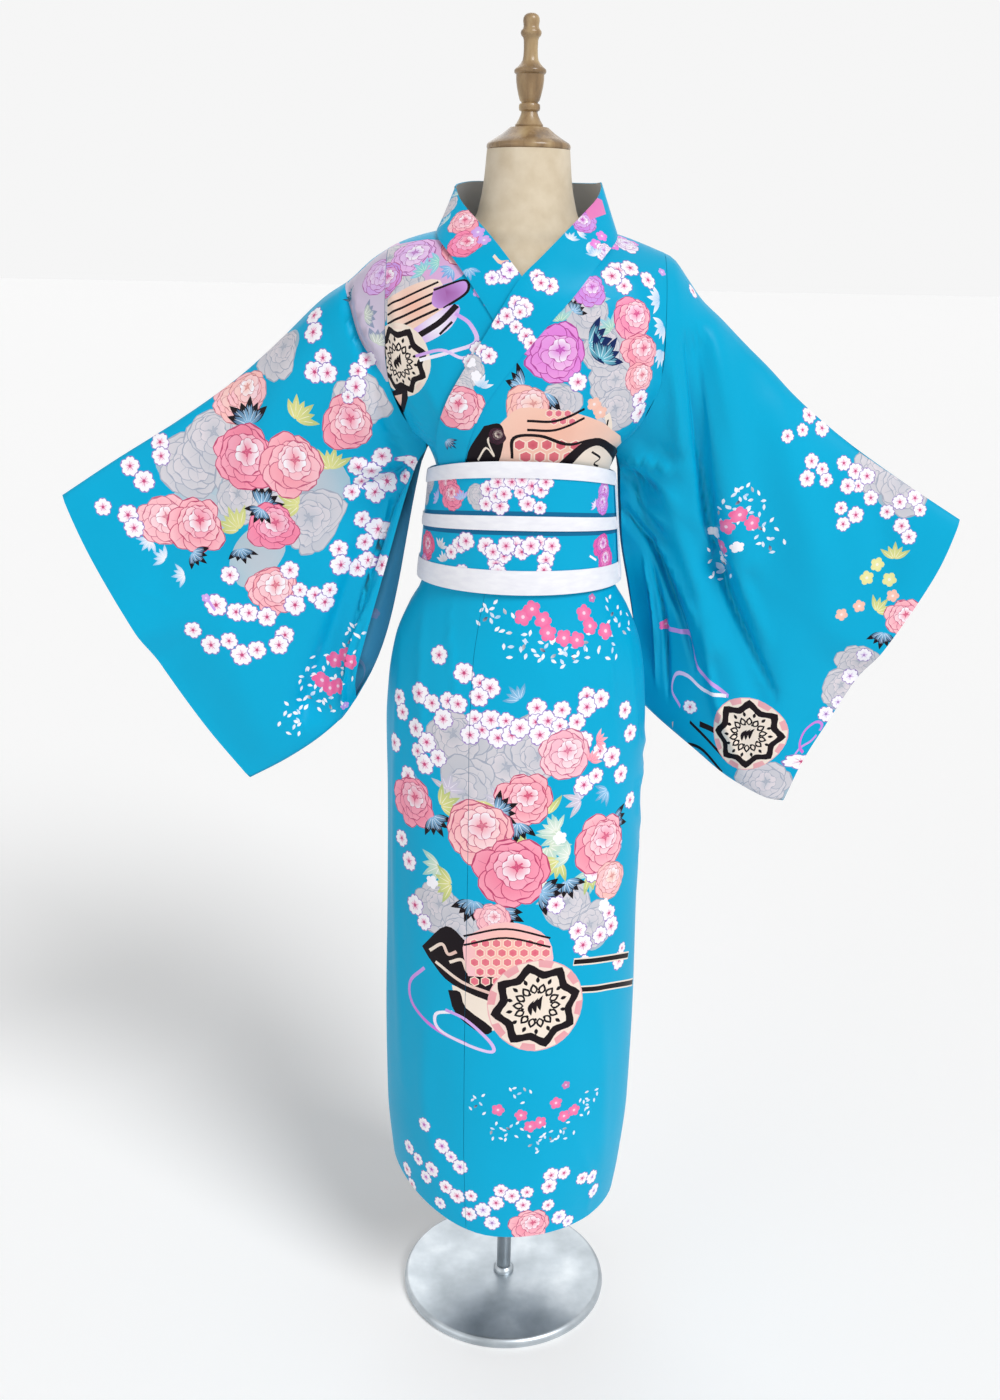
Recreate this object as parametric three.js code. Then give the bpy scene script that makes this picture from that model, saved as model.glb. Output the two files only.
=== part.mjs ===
// A woman's printed kimono with a narrow stiff belt, worn by a limbless dress form on a disc stand.
// Millimetres, +Z up, front towards -Y, origin at the centre of the disc's underside.
// Left and right are the wearer's own: the wearer's left is +X.
import * as THREE from 'three';

// Cloth and seams
const WALL = 1.2;
const COLLAR_WALL = 1.6;
const BELT_WALL = 2.4;
const SEAM_GAP = 0.4;
const SEAM_DEGREES = 0.1;
const ARMHOLE_GAP = 0.5;

// How far each layer lies outside the body surface, measured to its inner face
const UNDER_LAYER = 0;
const UNDER_COLLAR = 2.4;
const OVER_LAYER_SKIRT = 2.0;
const OVER_LAYER_CHEST = 5.4;
const OVER_COLLAR = 7.2;
const BELT = 9.4;
const BELT_TRIM = 12.3;
const BINDING_LAYER = 14;
// The over layer leaves the skirt's offset for the chest's, and comes back to the body at the shoulder
const CHEST_RISE = { start: 1060, span: 36 };
const SHOULDER_FADE = { start: 1440, span: 55 };

// Form and stand
const POLE_RADIUS = 10.5;
const FORM_BOTTOM = 840;
const NECK_TOP = 1603;
const REST_GAP = 0.3;

// Body surface under the cloth: a row for each height, with the half width, the reach to the front
// and to the back, and how square the section is (2 is an ellipse)
const BODY = [
  { z: 190, half: 155, front: 153, back: 150, power: 2.0 },
  { z: 243, half: 162.5, front: 154, back: 151, power: 2.0 },
  { z: 344, half: 171, front: 151, back: 150, power: 2.0 },
  { z: 475, half: 172.5, front: 145, back: 147, power: 2.0 },
  { z: 640, half: 170, front: 137, back: 143, power: 2.0 },
  { z: 800, half: 168.5, front: 130, back: 141, power: 2.0 },
  { z: 900, half: 169.5, front: 127, back: 138, power: 2.0 },
  { z: 960, half: 166, front: 124, back: 133, power: 2.0 },
  { z: 1010, half: 158, front: 119, back: 126, power: 2.0 },
  { z: 1055, half: 140, front: 110, back: 115, power: 2.0 },
  { z: 1096, half: 117.4, front: 101, back: 102, power: 2.0 },
  { z: 1165, half: 108.4, front: 93, back: 91, power: 2.0 },
  { z: 1225, half: 105, front: 94, back: 89, power: 2.1 },
  { z: 1262, half: 118, front: 99, back: 93, power: 2.3 },
  { z: 1280, half: 138, front: 104, back: 97, power: 2.35 },
  { z: 1300, half: 157, front: 109, back: 100, power: 2.4 },
  { z: 1322, half: 172, front: 113, back: 104, power: 2.4 },
  { z: 1347, half: 184, front: 116, back: 108, power: 2.4 },
  { z: 1400, half: 196, front: 118, back: 114, power: 2.4 },
  { z: 1450, half: 204, front: 118, back: 118, power: 2.4 },
  { z: 1620, half: 210, front: 118, back: 118, power: 2.4 },
];

// The shoulder line, seen from the front, and the drop over which the cloth turns down from it
const RIDGE = [
  { x: -240, z: 1432 },
  { x: -213, z: 1453 },
  { x: -187, z: 1476 },
  { x: -143, z: 1500 },
  { x: -104, z: 1511 },
  { x: -55, z: 1521 },
  { x: 0, z: 1530 },
  { x: 55, z: 1521 },
  { x: 104, z: 1511 },
  { x: 154, z: 1494 },
  { x: 179, z: 1483 },
  { x: 215, z: 1440 },
  { x: 240, z: 1415 },
];
const ROLL_DROP_FRONT = 130;
const ROLL_DROP_BACK = 95;
const ROLL_POWER = 2.2;

// Rows of the cloth up to the belt, and the armhole's edge from its foot to where the yoke rows start
const SKIRT_ROWS = [197, 243, 344, 475, 640, 800, 900, 960, 1010, 1055, 1096, 1165, 1225];
const ARMHOLE = [
  { z: 1262, x: 116.8 },
  { z: 1280, x: 133 },
  { z: 1300, x: 147 },
  { z: 1322, x: 155 },
  { z: 1347, x: 162 },
  { z: 1375, x: 164 },
  { z: 1620, x: 165 },
];
const YOKE_START = 1375;
// Where the sleeves are sewn on at the shoulder line, and where the neckline meets it
const SHOULDER_X = 165;
const NECK_POINT_X = 100;
// Yoke rows climb to the shoulder line. share is how much of the way down from it is left, and x and
// z are where the row ends at the neckline or centre of the back
const BACK_YOKE = [
  { share: 0.72, x: SEAM_GAP / 2, z: 1410 },
  { share: 0.46, x: SEAM_GAP / 2, z: 1448 },
  { share: 0.24, x: SEAM_GAP / 2, z: 1507 },
  { share: 0.09, x: 52, z: 1509 },
  { share: 0, x: NECK_POINT_X, z: 1512 },
];
const FRONT_YOKE = [
  { share: 0.72 },
  { share: 0.46 },
  { share: 0.24 },
  { share: 0.09 },
  { share: 0 },
];

// Panels round the body, in degrees from the side seam towards the front edge or the centre back
// The over layer leaves the body surface over the first degrees from its side seam
const LAYER_DEGREES = 20;
const OKUMI_SEAM = 110;
const OVER_EDGE = 170;
const UNDER_EDGE = 160;
const CENTRE_BACK = 90;
const PANEL_COLUMNS = { back: 9, front: 11, overOkumi: 6, underOkumi: 5 };
const OKUMI_TOP = 1215;

// Where each front's inner edge runs under the collar, above the belt, as seen for its own side
const OVER_FRONT_EDGE = [
  { z: 1262, x: -62 },
  { z: 1324, x: -44 },
  { z: 1391, x: 6 },
  { z: 1425, x: 36 },
  { z: 1493, x: 88 },
  { z: 1512, x: NECK_POINT_X },
];
const UNDER_FRONT_EDGE = [
  { z: 1262, x: -18 },
  { z: 1296, x: -16 },
  { z: 1328, x: -10 },
  { z: 1360, x: 1 },
  { z: 1388, x: 14 },
  { z: 1440, x: 47 },
  { z: 1493, x: 88 },
  { z: 1512, x: NECK_POINT_X },
];

// How high each hem rises towards the wearer's right side, over the angles given
const OVER_HEM = { start: 95, span: 75, rise: 45, base: 0 };
const UNDER_HEM = { start: 95, span: 85, rise: 38, base: 5 };
const BACK_HEM = { start: 90, span: 90, rise: 43, base: 0 };
const HEM_FADE_TOP = 475;

// Collar stations from the back of the neck down into the belt: x, y and z of the upper edge, which
// without a y lies on the chest, and x and z of the lower edge, which lies on the back (side 1), on
// the shoulder line (0) or on the chest (-1)
const COLLAR_LEFT = [
  { x: 0.3, y: 80, z: 1571, lowX: 0.3, lowZ: 1506, side: 1 },
  { x: 38, y: 73, z: 1571, lowX: 44, lowZ: 1507, side: 1 },
  { x: 66, y: 51, z: 1570, lowX: 78, lowZ: 1510, side: 1 },
  { x: 82, y: 24, z: 1569, lowX: 97, lowZ: 1512, side: 1 },
  { x: 87, y: 4, z: 1569, lowX: 104, lowZ: 1516, side: 0 },
  { x: 87, y: -14, z: 1563, lowX: 106, lowZ: 1511, side: -1 },
  { x: 80, y: -33, z: 1549, lowX: 103, lowZ: 1502, side: -1 },
  { x: 64, y: -55, z: 1532, lowX: 92, lowZ: 1489, side: -1 },
  { x: 41, y: -79, z: 1509, lowX: 73, lowZ: 1466, side: -1 },
  { x: 16, y: -101, z: 1484, lowX: 54, lowZ: 1442, side: -1 },
  { x: -8, z: 1460, lowX: 36, lowZ: 1422, side: -1 },
  { x: -30, z: 1425, lowX: 18, lowZ: 1401, side: -1 },
  { x: -52, z: 1388, lowX: -3, lowZ: 1376, side: -1 },
  { x: -74, z: 1352, lowX: -27, lowZ: 1345, side: -1 },
  { x: -90, z: 1322, lowX: -47, lowZ: 1315, side: -1 },
  { x: -101, z: 1290, lowX: -60, lowZ: 1285, side: -1 },
  { x: -104, z: 1262, lowX: -67, lowZ: 1260, side: -1 },
  { x: -100, z: 1236, lowX: -70, lowZ: 1236, side: -1 },
];
const COLLAR_RIGHT = [
  { x: -0.3, y: 80, z: 1571, lowX: -0.3, lowZ: 1506, side: 1 },
  { x: -38, y: 73, z: 1571, lowX: -44, lowZ: 1507, side: 1 },
  { x: -66, y: 51, z: 1570, lowX: -78, lowZ: 1510, side: 1 },
  { x: -82, y: 24, z: 1566, lowX: -97, lowZ: 1512, side: 1 },
  { x: -86, y: 4, z: 1562, lowX: -104, lowZ: 1516, side: 0 },
  { x: -83, y: -16, z: 1554, lowX: -106, lowZ: 1511, side: -1 },
  { x: -75, y: -35, z: 1541, lowX: -103, lowZ: 1502, side: -1 },
  { x: -59, y: -56, z: 1524, lowX: -92, lowZ: 1489, side: -1 },
  { x: -39, y: -79, z: 1503, lowX: -73, lowZ: 1466, side: -1 },
  { x: -18, y: -97, z: 1478, lowX: -54, lowZ: 1440, side: -1 },
  { x: 0, z: 1455, lowX: -38, lowZ: 1416, side: -1 },
  { x: 20, z: 1425, lowX: -22, lowZ: 1388, side: -1 },
  { x: 38, z: 1393, lowX: -9, lowZ: 1360, side: -1 },
  { x: 52, z: 1355, lowX: 2, lowZ: 1328, side: -1 },
  { x: 62, z: 1315, lowX: 8, lowZ: 1296, side: -1 },
  { x: 68, z: 1275, lowX: 10, lowZ: 1264, side: -1 },
  { x: 70, z: 1236, lowX: 12, lowZ: 1236, side: -1 },
];
const COLLAR_COLUMNS = 4;
const COLLAR_STEPS = 2;
const COLLAR_SHOULDER_LIFT = 1.2;
const COLLAR_FADE = { start: 1440, span: 50 };

// Belt: its height at the sides, how much taller it is in front, and its trims as shares of it
const BELT_BOTTOM = 1095;
const BELT_HEIGHT = 130;
const BELT_FRONT_RISE = 27;
const BELT_COLUMN_DEGREES = 7.5;
const BELT_TRIMS = [
  { name: 'obi_band_bottom', from: -0.012, to: 0.178 },
  { name: 'obi_ribbon', from: 0.488, to: 0.6 },
  { name: 'obi_band_top', from: 0.888, to: 1.012 },
];
const BELT_ROUNDING = 1.2;
const BINDING = { from: -16, to: -12.5, shares: [0.03, 0.25, 0.5, 0.75, 0.95] };

// Sleeves, seen from the front: the top fold, the wrist edge, the bottom fold and the open inner
// edges below the armhole. y is given only where an edge leaves the plane of the sleeve
const SLEEVE_RIGHT = {
  side: -1,
  top: [[-187, 1476], [-213, 1453], [-248, 1429], [-299, 1381], [-356, 1332], [-428, 1282],
    [-512, 1230], [-581, 1185]],
  wrist: [[-581, 1185], [-544, 1102], [-487, 996], [-418, 887], [-357, 807]],
  bottom: [[-212, 921], [-231, 894], [-264, 864], [-308, 834], [-357, 807]],
  bottomCornerY: 4.5,
  innerFront: [[-131, -17, 1235], [-146, -16, 1190], [-163, -16, 1130], [-180, -16, 1070],
    [-197, -16, 1010], [-211, -12, 955]],
  innerBack: [[-126, 20, 1235], [-136, 22, 1190], [-147, 24, 1130], [-158, 26, 1070],
    [-172, 26, 1010], [-190, 22, 960]],
  folds: [
    { from: [-212, 1447], to: [-176, 1352], width: 12, depth: 8 },
    { from: [-152, 1215], to: [-268, 915], width: 26, depth: 17 },
    { from: [-150, 1160], to: [-206, 975], width: 13, depth: -9 },
    { from: [-190, 1310], to: [-330, 1150], width: 34, depth: -8 },
  ],
};
const SLEEVE_LEFT = {
  side: 1,
  top: [[179, 1483], [197, 1460], [215, 1437], [241, 1414], [290, 1368], [342, 1320], [404, 1272],
    [477, 1224], [558, 1175]],
  wrist: [[558, 1175], [537, 1118], [512, 1069], [480, 1015], [445, 960], [415, 904], [386, 847],
    [364, 788]],
  bottom: [[168, 908], [200, 880], [246, 846], [288, 816], [338, 792], [364, 788]],
  bottomCornerY: 62,
  innerFront: [[123, -6, 1235], [127, 10, 1190], [134, 28, 1130], [147, 42, 1070],
    [157, 50, 1010], [163, 53, 955]],
  innerBack: [[122, 28, 1235], [126, 40, 1190], [133, 54, 1130], [146, 66, 1070],
    [158, 74, 1010], [164, 75, 955]],
  folds: [
    { from: [206, 1385], to: [256, 1110], width: 15, depth: 11 },
    { from: [256, 1110], to: [322, 940], width: 20, depth: 9 },
    { from: [228, 1400], to: [290, 1120], width: 20, depth: -8 },
    { from: [150, 1205], to: [212, 1065], width: 16, depth: 12 },
    { from: [182, 1190], to: [250, 1000], width: 18, depth: -10 },
  ],
};
const SLEEVE_COLUMNS = [0, 0.035, 0.08, 0.13, 0.185, 0.245, 0.31, 0.385, 0.47, 0.57, 0.68, 0.8, 0.91, 1];
// Half depth of the bag in its middle and where it is sewn shut, and the shares along and down the
// sleeve over which the wrist edge closes below its opening
const BAG_HALF_DEPTH = 18;
const SEWN_HALF_DEPTH = 2.1;
// How fast the armhole's shape and the bottom corner's place are left, and where the folds begin
const ARMHOLE_FADE = 2.4;
const CORNER_FADE = 1.5;
const FOLDS_START = 0.08;
const CUFF = { start: 0.72, sewnFrom: 0.44, sewnBy: 0.56 };

// Form from its flat bottom to the shoulders: a row for each height, with the half width, how square
// it is, and how far it keeps inside the body surface
const FORM = [
  { z: 840, half: 150, power: 2.0, clear: 4 },
  { z: 900, half: 160, power: 2.0, clear: 4 },
  { z: 960, half: 160, power: 2.0, clear: 3 },
  { z: 1010, half: 154, power: 2.0, clear: 2 },
  { z: 1055, half: 138, power: 2.0, clear: 1.2 },
  { z: 1096, half: 116.6, power: 2.0, clear: 0.8 },
  { z: 1165, half: 107.6, power: 2.0, clear: 0.8 },
  { z: 1225, half: 103.6, power: 2.1, clear: 1.4 },
  { z: 1262, half: 109, power: 2.3, clear: 3 },
  { z: 1280, half: 122, power: 2.35, clear: 1.8 },
  { z: 1300, half: 132, power: 2.4, clear: 1.8 },
  { z: 1322, half: 140, power: 2.4, clear: 1.8 },
  { z: 1347, half: 146, power: 2.5, clear: 1.8 },
  { z: 1400, half: 152, power: 2.8, clear: 4 },
  { z: 1450, half: 155, power: 3.0, clear: 6 },
  { z: 1476, half: 148, power: 2.8, clear: 9 },
  { z: 1494, half: 122, power: 2.4, clear: 11 },
];
const NECK = [
  { z: 1510, half: 82, front: 64, back: 60 },
  { z: 1526, half: 63, front: 60, back: 60 },
  { z: 1547, half: 56, front: 56, back: 56 },
  { z: 1570, half: 52, front: 52, back: 52 },
  { z: NECK_TOP, half: 49, front: 49, back: 49 },
];
const FORM_COLUMN_DEGREES = 10;

// Turned pieces: radius and height above each one's foot
const DISC = [[0, 0], [146, 0], [149, 3], [150, 7], [148.5, 11.5], [145, 14], [0, 14]];
const FLANGE = [[0, 0], [15, 0], [15, 5], [12, 9], [0, 9]];
const CAP = [[0, 0], [48.5, 0], [49.5, 3], [48, 7], [23, 24], [0, 24]];
const FINIAL = [[0, 0], [16, 0], [16.5, 3], [10, 15], [9.5, 17], [12, 18.5], [12, 25], [9.5, 26.5],
  [12, 29], [15.5, 44], [16.5, 57], [18.5, 59], [18.5, 62], [15, 65], [8.5, 76], [8.5, 95],
  [11.5, 98], [12, 102], [9.5, 105], [9, 108], [9.6, 113], [8, 119], [4, 121.5], [0, 122]];

const MATERIALS = {
  cloth: new THREE.MeshStandardMaterial({ color: 0x0aa5d2, roughness: 0.45, metalness: 0, side: 2 }),
  trim: new THREE.MeshStandardMaterial({ color: 0xe9e8f2, roughness: 0.55, metalness: 0 }),
  jersey: new THREE.MeshStandardMaterial({ color: 0xd5c6ae, roughness: 0.8, metalness: 0 }),
  wood: new THREE.MeshStandardMaterial({ color: 0x5a4230, roughness: 0.35, metalness: 0 }),
  chrome: new THREE.MeshStandardMaterial({ color: 0xc9ccd0, roughness: 0.12, metalness: 1 }),
};

const radians = THREE.MathUtils.degToRad;
const degrees = THREE.MathUtils.radToDeg;
const clamp = THREE.MathUtils.clamp;
const lerp = THREE.MathUtils.lerp;
const smooth = (t) => THREE.MathUtils.smoothstep(t, 0, 1);

// The value of a table's column at a height or place, along a smooth curve without overshoot
function tableAt(rows, key, column, value) {
  const last = rows.length - 1;
  let i = 0;
  while (i < last - 1 && value > rows[i + 1][key]) i += 1;
  const slope = (a, b) => (rows[b][column] - rows[a][column]) / (rows[b][key] - rows[a][key]);
  const tangent = (k) => {
    if (k === 0) return slope(0, 1);
    if (k === last) return slope(last - 1, last);
    const before = slope(k - 1, k);
    const after = slope(k, k + 1);
    return before * after <= 0 ? 0 : (2 * before * after) / (before + after);
  };
  const step = rows[i + 1][key] - rows[i][key];
  const t = clamp((value - rows[i][key]) / step, 0, 1);
  const start = rows[i][column];
  const end = rows[i + 1][column];
  return (2 * t ** 3 - 3 * t * t + 1) * start + (t ** 3 - 2 * t * t + t) * step * tangent(i)
    + (3 * t * t - 2 * t ** 3) * end + (t ** 3 - t * t) * step * tangent(i + 1);
}

const halfWidth = (z, grow) => tableAt(BODY, 'z', 'half', z) + grow;
const squareness = (z) => tableAt(BODY, 'z', 'power', z);
const ridgeHeight = (x) => tableAt(RIDGE, 'x', 'z', x);
const armholeX = (z) => tableAt(ARMHOLE, 'z', 'x', z);

// How much of its full depth the cloth has where it turns down from the shoulder line
function shoulderRoll(x, z, grow, side) {
  const rollDrop = side < 0 ? ROLL_DROP_FRONT : ROLL_DROP_BACK;
  const drop = clamp((ridgeHeight(x) + grow - z) / rollDrop, 0, 1);
  return (1 - (1 - drop) ** ROLL_POWER) ** (1 / ROLL_POWER);
}

// Distance of the body surface from the plane y = 0; side is -1 for the front and 1 for the back
function depthAt(x, z, grow, side) {
  const reach = tableAt(BODY, 'z', side < 0 ? 'front' : 'back', z) + grow;
  const across = Math.min(Math.abs(x) / halfWidth(z, grow), 1);
  const power = squareness(z);
  return reach * (1 - across ** power) ** (1 / power) * shoulderRoll(x, z, grow, side);
}

// x of the body surface at an angle from the side seam, and the angle at an x
function angleToX(angle, z, grow) {
  const c = Math.cos(radians(angle));
  return Math.sign(c) * halfWidth(z, grow) * Math.abs(c) ** (2 / squareness(z));
}

function xToAngle(x, z, grow) {
  const across = clamp(Math.abs(x) / halfWidth(z, grow), 0, 1);
  const angle = degrees(Math.acos(across ** (squareness(z) / 2)));
  return x < 0 ? 180 - angle : angle;
}

// A closed mesh from quads between rows of points, which are shared by their numbers
class Solid {
  constructor() {
    this.points = [];
    this.faces = [];
  }

  addGrid(grid) {
    return grid.map((row) => row.map((point) => this.points.push(point) - 1));
  }

  // Joins two rows of point numbers with quads, round a closed ring if asked. A reversed strip has
  // the same diagonals and faces the other way
  strip(row, next, closed = false, reversed = false) {
    const count = closed ? row.length : row.length - 1;
    for (let j = 0; j < count; j += 1) {
      const k = (j + 1) % row.length;
      const faces = [[row[j], row[k], next[k]], [row[j], next[k], next[j]]];
      this.faces.push(...(reversed ? faces.map(([a, b, c]) => [a, c, b]) : faces));
    }
  }

  fan(ring, center, reversed) {
    const middle = this.points.push(center) - 1;
    ring.forEach((point, j) => {
      const next = ring[(j + 1) % ring.length];
      this.faces.push(reversed ? [middle, next, point] : [middle, point, next]);
    });
  }

  volume() {
    const cross = new THREE.Vector3();
    return this.faces.reduce((sum, [a, b, c]) => {
      cross.crossVectors(this.points[b], this.points[c]);
      return sum + this.points[a].dot(cross) / 6;
    }, 0);
  }

  geometry() {
    const outward = this.volume() > 0;
    const faces = this.faces.map(([a, b, c]) => (outward ? [a, b, c] : [a, c, b]));
    const geometry = new THREE.BufferGeometry();
    const numbers = this.points.flatMap((point) => point.toArray());
    geometry.setAttribute('position', new THREE.Float32BufferAttribute(numbers, 3));
    geometry.setIndex(faces.flat());
    geometry.computeVertexNormals();
    return geometry;
  }
}

// A wall between an outer and an inner grid of points, closed by a rim all round. With closed rows
// it is a tube, open at both ends
function wallSolid(outer, inner, closed = false) {
  const solid = new Solid();
  const out = solid.addGrid(outer);
  const back = solid.addGrid(inner);
  for (let i = 0; i + 1 < out.length; i += 1) {
    solid.strip(out[i], out[i + 1], closed);
    solid.strip(back[i], back[i + 1], closed, true);
  }
  solid.strip(back[0], out[0], closed);
  solid.strip(out.at(-1), back.at(-1), closed);
  if (!closed) {
    const edge = (grid, j) => grid.map((row) => row.at(j));
    solid.strip(edge(out, 0), edge(back, 0));
    solid.strip(edge(back, -1), edge(out, -1));
  }
  return solid.geometry();
}

// A filled body from a stack of closed level rings
function stackSolid(rings) {
  const solid = new Solid();
  const grid = solid.addGrid(rings);
  for (let i = 0; i + 1 < grid.length; i += 1) solid.strip(grid[i], grid[i + 1], true);
  const centre = (ring) => new THREE.Vector3(0, 0, ring[0].z);
  solid.fan(grid[0], centre(rings[0]), true);
  solid.fan(grid.at(-1), centre(rings.at(-1)), false);
  return solid.geometry();
}

// A grid of points moved along its own normals
function offsetGrid(grid, distance, closed = false) {
  const count = grid[0].length;
  const along = (j) => (closed ? (j + count) % count : clamp(j, 0, count - 1));
  const row = (i) => clamp(i, 0, grid.length - 1);
  return grid.map((points, i) => points.map((point, j) => {
    const across = grid[row(i + 1)][j].clone().sub(grid[row(i - 1)][j]);
    const forward = points[along(j + 1)].clone().sub(points[along(j - 1)]);
    return point.clone().addScaledVector(across.cross(forward).normalize(), distance);
  }));
}

function piece(name, geometry, material) {
  const mesh = new THREE.Mesh(geometry, material);
  mesh.name = name;
  return mesh;
}

// Rise of a hem at an angle measured from the wearer's left side, fading out up the skirt
function hemRise(hem, angle, z) {
  const share = smooth((angle - hem.start) / hem.span);
  const fade = clamp((HEM_FADE_TOP - z) / (HEM_FADE_TOP - SKIRT_ROWS[0]), 0, 1);
  return (hem.base + share * hem.rise) * fade;
}

// How far the over layer stands off the body surface once it is past its own side seam
function overLayer(z) {
  const chest = smooth((z - CHEST_RISE.start) / CHEST_RISE.span);
  const shoulder = smooth((z - SHOULDER_FADE.start) / SHOULDER_FADE.span);
  return lerp(OVER_LAYER_SKIRT, OVER_LAYER_CHEST, chest) * (1 - shoulder);
}

// Rows of a body panel: the height at the side, where the row ends, and its share of the yoke left
function panelRows(mirror, edge, yoke) {
  const skirt = SKIRT_ROWS.map((z) => ({ z, share: 1 }));
  const chest = ARMHOLE.filter((row) => row.z <= YOKE_START).map(({ z, x }) => ({
    z, share: 1, sideX: x, endZ: z, endX: edge(z),
  }));
  const top = yoke.map(({ share, x, z }) => {
    const endZ = z ?? lerp(ridgeHeight(mirror * NECK_POINT_X), YOKE_START, share);
    const sideZ = lerp(ridgeHeight(mirror * SHOULDER_X), YOKE_START, share);
    return { z: sideZ, share, sideX: SHOULDER_X, endZ, endX: x ?? edge(endZ) };
  });
  return [...skirt, ...chest, ...top];
}

// One point of a body panel, t of the way from the side to the inner edge, first made for the
// wearer's left and mirrored for the right
function panelPoint(row, t, layout, grow) {
  const { mirror, side, endAngle, layer, rise } = layout;
  const hasArmhole = row.sideX !== undefined;
  const start = hasArmhole ? xToAngle(row.sideX, row.z, 0) : layout.startAngle;
  const end = hasArmhole ? xToAngle(row.endX, row.endZ, 0) : endAngle;
  const angle = lerp(start, end, t);
  const level = lerp(row.z, row.endZ ?? row.z, t);
  const base = grow + layer(level) * smooth((angle - start) / LAYER_DEGREES);
  if (row.share === 1) {
    const z = level + rise(angle, level);
    const x = mirror * (hasArmhole && t === 0 ? row.sideX : angleToX(angle, z, base));
    return new THREE.Vector3(x, side * depthAt(x, z, base, side), z);
  }
  const x = mirror * lerp(row.sideX, row.endX, t);
  const line = lerp(ridgeHeight(mirror * row.sideX), ridgeHeight(mirror * row.endX), t);
  const z = level + (1 - row.share) * (ridgeHeight(x) - line + base);
  return new THREE.Vector3(x, side * Math.max(depthAt(x, z, base, side), SEAM_GAP / 2), z);
}

function bodyPanel(rows, columns, layout) {
  const grid = (grow) => rows.map((row) => Array.from({ length: columns + 1 }, (_, c) => (
    panelPoint(row, c / columns, layout, grow))));
  return wallSolid(grid(WALL), grid(0));
}

const noLayer = () => UNDER_LAYER;
const edgeAt = (table) => (z) => tableAt(table, 'z', 'x', z);

function backPanel(mirror) {
  const rise = (angle, z) => (mirror > 0 ? 0 : hemRise(BACK_HEM, 180 - angle, z));
  const layout = {
    mirror,
    side: 1,
    layer: noLayer,
    rise,
    startAngle: SEAM_DEGREES,
    endAngle: CENTRE_BACK - SEAM_DEGREES,
  };
  return bodyPanel(panelRows(mirror, () => SEAM_GAP / 2, BACK_YOKE), PANEL_COLUMNS.back, layout);
}

// The two sides of the front: the wearer's left lies over the right
const FRONTS = {
  left: {
    mirror: 1,
    edge: OVER_FRONT_EDGE,
    layer: overLayer,
    okumiEdge: OVER_EDGE,
    columns: PANEL_COLUMNS.overOkumi,
    rise: (angle, z) => hemRise(OVER_HEM, angle, z),
  },
  right: {
    mirror: -1,
    edge: UNDER_FRONT_EDGE,
    layer: noLayer,
    okumiEdge: UNDER_EDGE,
    columns: PANEL_COLUMNS.underOkumi,
    rise: (angle, z) => hemRise(UNDER_HEM, 180 - angle, z),
  },
};

function frontPanel({ mirror, edge, layer, rise }) {
  const layout = {
    mirror,
    side: -1,
    layer,
    rise,
    startAngle: SEAM_DEGREES,
    endAngle: OKUMI_SEAM - SEAM_DEGREES,
  };
  return bodyPanel(panelRows(mirror, edgeAt(edge), FRONT_YOKE), PANEL_COLUMNS.front, layout);
}

// The overlap panel sewn to a front's edge, up to where the belt hides it
function okumiPanel({ mirror, layer, rise, okumiEdge, columns }) {
  const rows = SKIRT_ROWS.filter((z) => z < OKUMI_TOP).concat(OKUMI_TOP).map((z) => ({ z, share: 1 }));
  const grid = (grow) => rows.map(({ z }) => Array.from({ length: columns + 1 }, (_, c) => {
    const angle = lerp(OKUMI_SEAM + SEAM_DEGREES, okumiEdge, c / columns);
    const base = grow + layer(z);
    const height = z + rise(angle, z);
    const x = mirror * angleToX(angle, height, base);
    return new THREE.Vector3(x, -depthAt(x, height, base, -1), height);
  }));
  return wallSolid(grid(WALL), grid(0));
}

// Half of the collar, from the back seam down into the belt. It lies on the body surface, or stands
// up from it round the neck
function collarHalf(stations, chestLayer) {
  const shoulderLayer = UNDER_COLLAR + COLLAR_SHOULDER_LIFT;
  const layerAt = (z) => {
    const shoulder = smooth((z - COLLAR_FADE.start) / COLLAR_FADE.span);
    return lerp(chestLayer, shoulderLayer, shoulder) + COLLAR_WALL;
  };
  const onBody = (x, z, side) => side * depthAt(x, z, layerAt(z), side || -1);
  const curve = (points) => new THREE.CatmullRomCurve3(points, false, 'centripetal');
  const upper = curve(stations.map(({ x, y, z, side }) => (
    new THREE.Vector3(x, y ?? onBody(x, z, side), z))));
  const lower = curve(stations.map(({ lowX, lowZ, side }) => (
    new THREE.Vector3(lowX, onBody(lowX, lowZ, side), lowZ))));
  const steps = (stations.length - 1) * COLLAR_STEPS;
  const outer = Array.from({ length: steps + 1 }, (_, i) => {
    const top = upper.getPoint(i / steps);
    const foot = lower.getPoint(i / steps);
    return Array.from({ length: COLLAR_COLUMNS + 1 }, (__, c) => {
      const point = top.clone().lerp(foot, c / COLLAR_COLUMNS);
      const side = Math.sign(point.y) || -1;
      const body = depthAt(point.x, point.z, layerAt(point.z), side);
      point.y = side * Math.max(Math.abs(point.y), body);
      return point;
    });
  });
  const inward = stations.at(1).x > 0 ? -1 : 1;
  return wallSolid(outer, offsetGrid(outer, inward * COLLAR_WALL));
}

// A point of the belt at a share of its height. It is stiff, so it is straight from edge to edge,
// and taller in front
function beltPoint(angle, share, grow) {
  const frontness = Math.max(0, -Math.sin(radians(angle))) ** BELT_ROUNDING;
  const side = angle % 360 < 180 ? 1 : -1;
  const edgePoint = (z) => {
    const x = angleToX(angle, z, grow);
    return new THREE.Vector3(x, side * depthAt(x, z, grow, side), z);
  };
  const top = edgePoint(BELT_BOTTOM + BELT_HEIGHT + BELT_FRONT_RISE * frontness);
  return edgePoint(BELT_BOTTOM).lerp(top, share);
}

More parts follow.
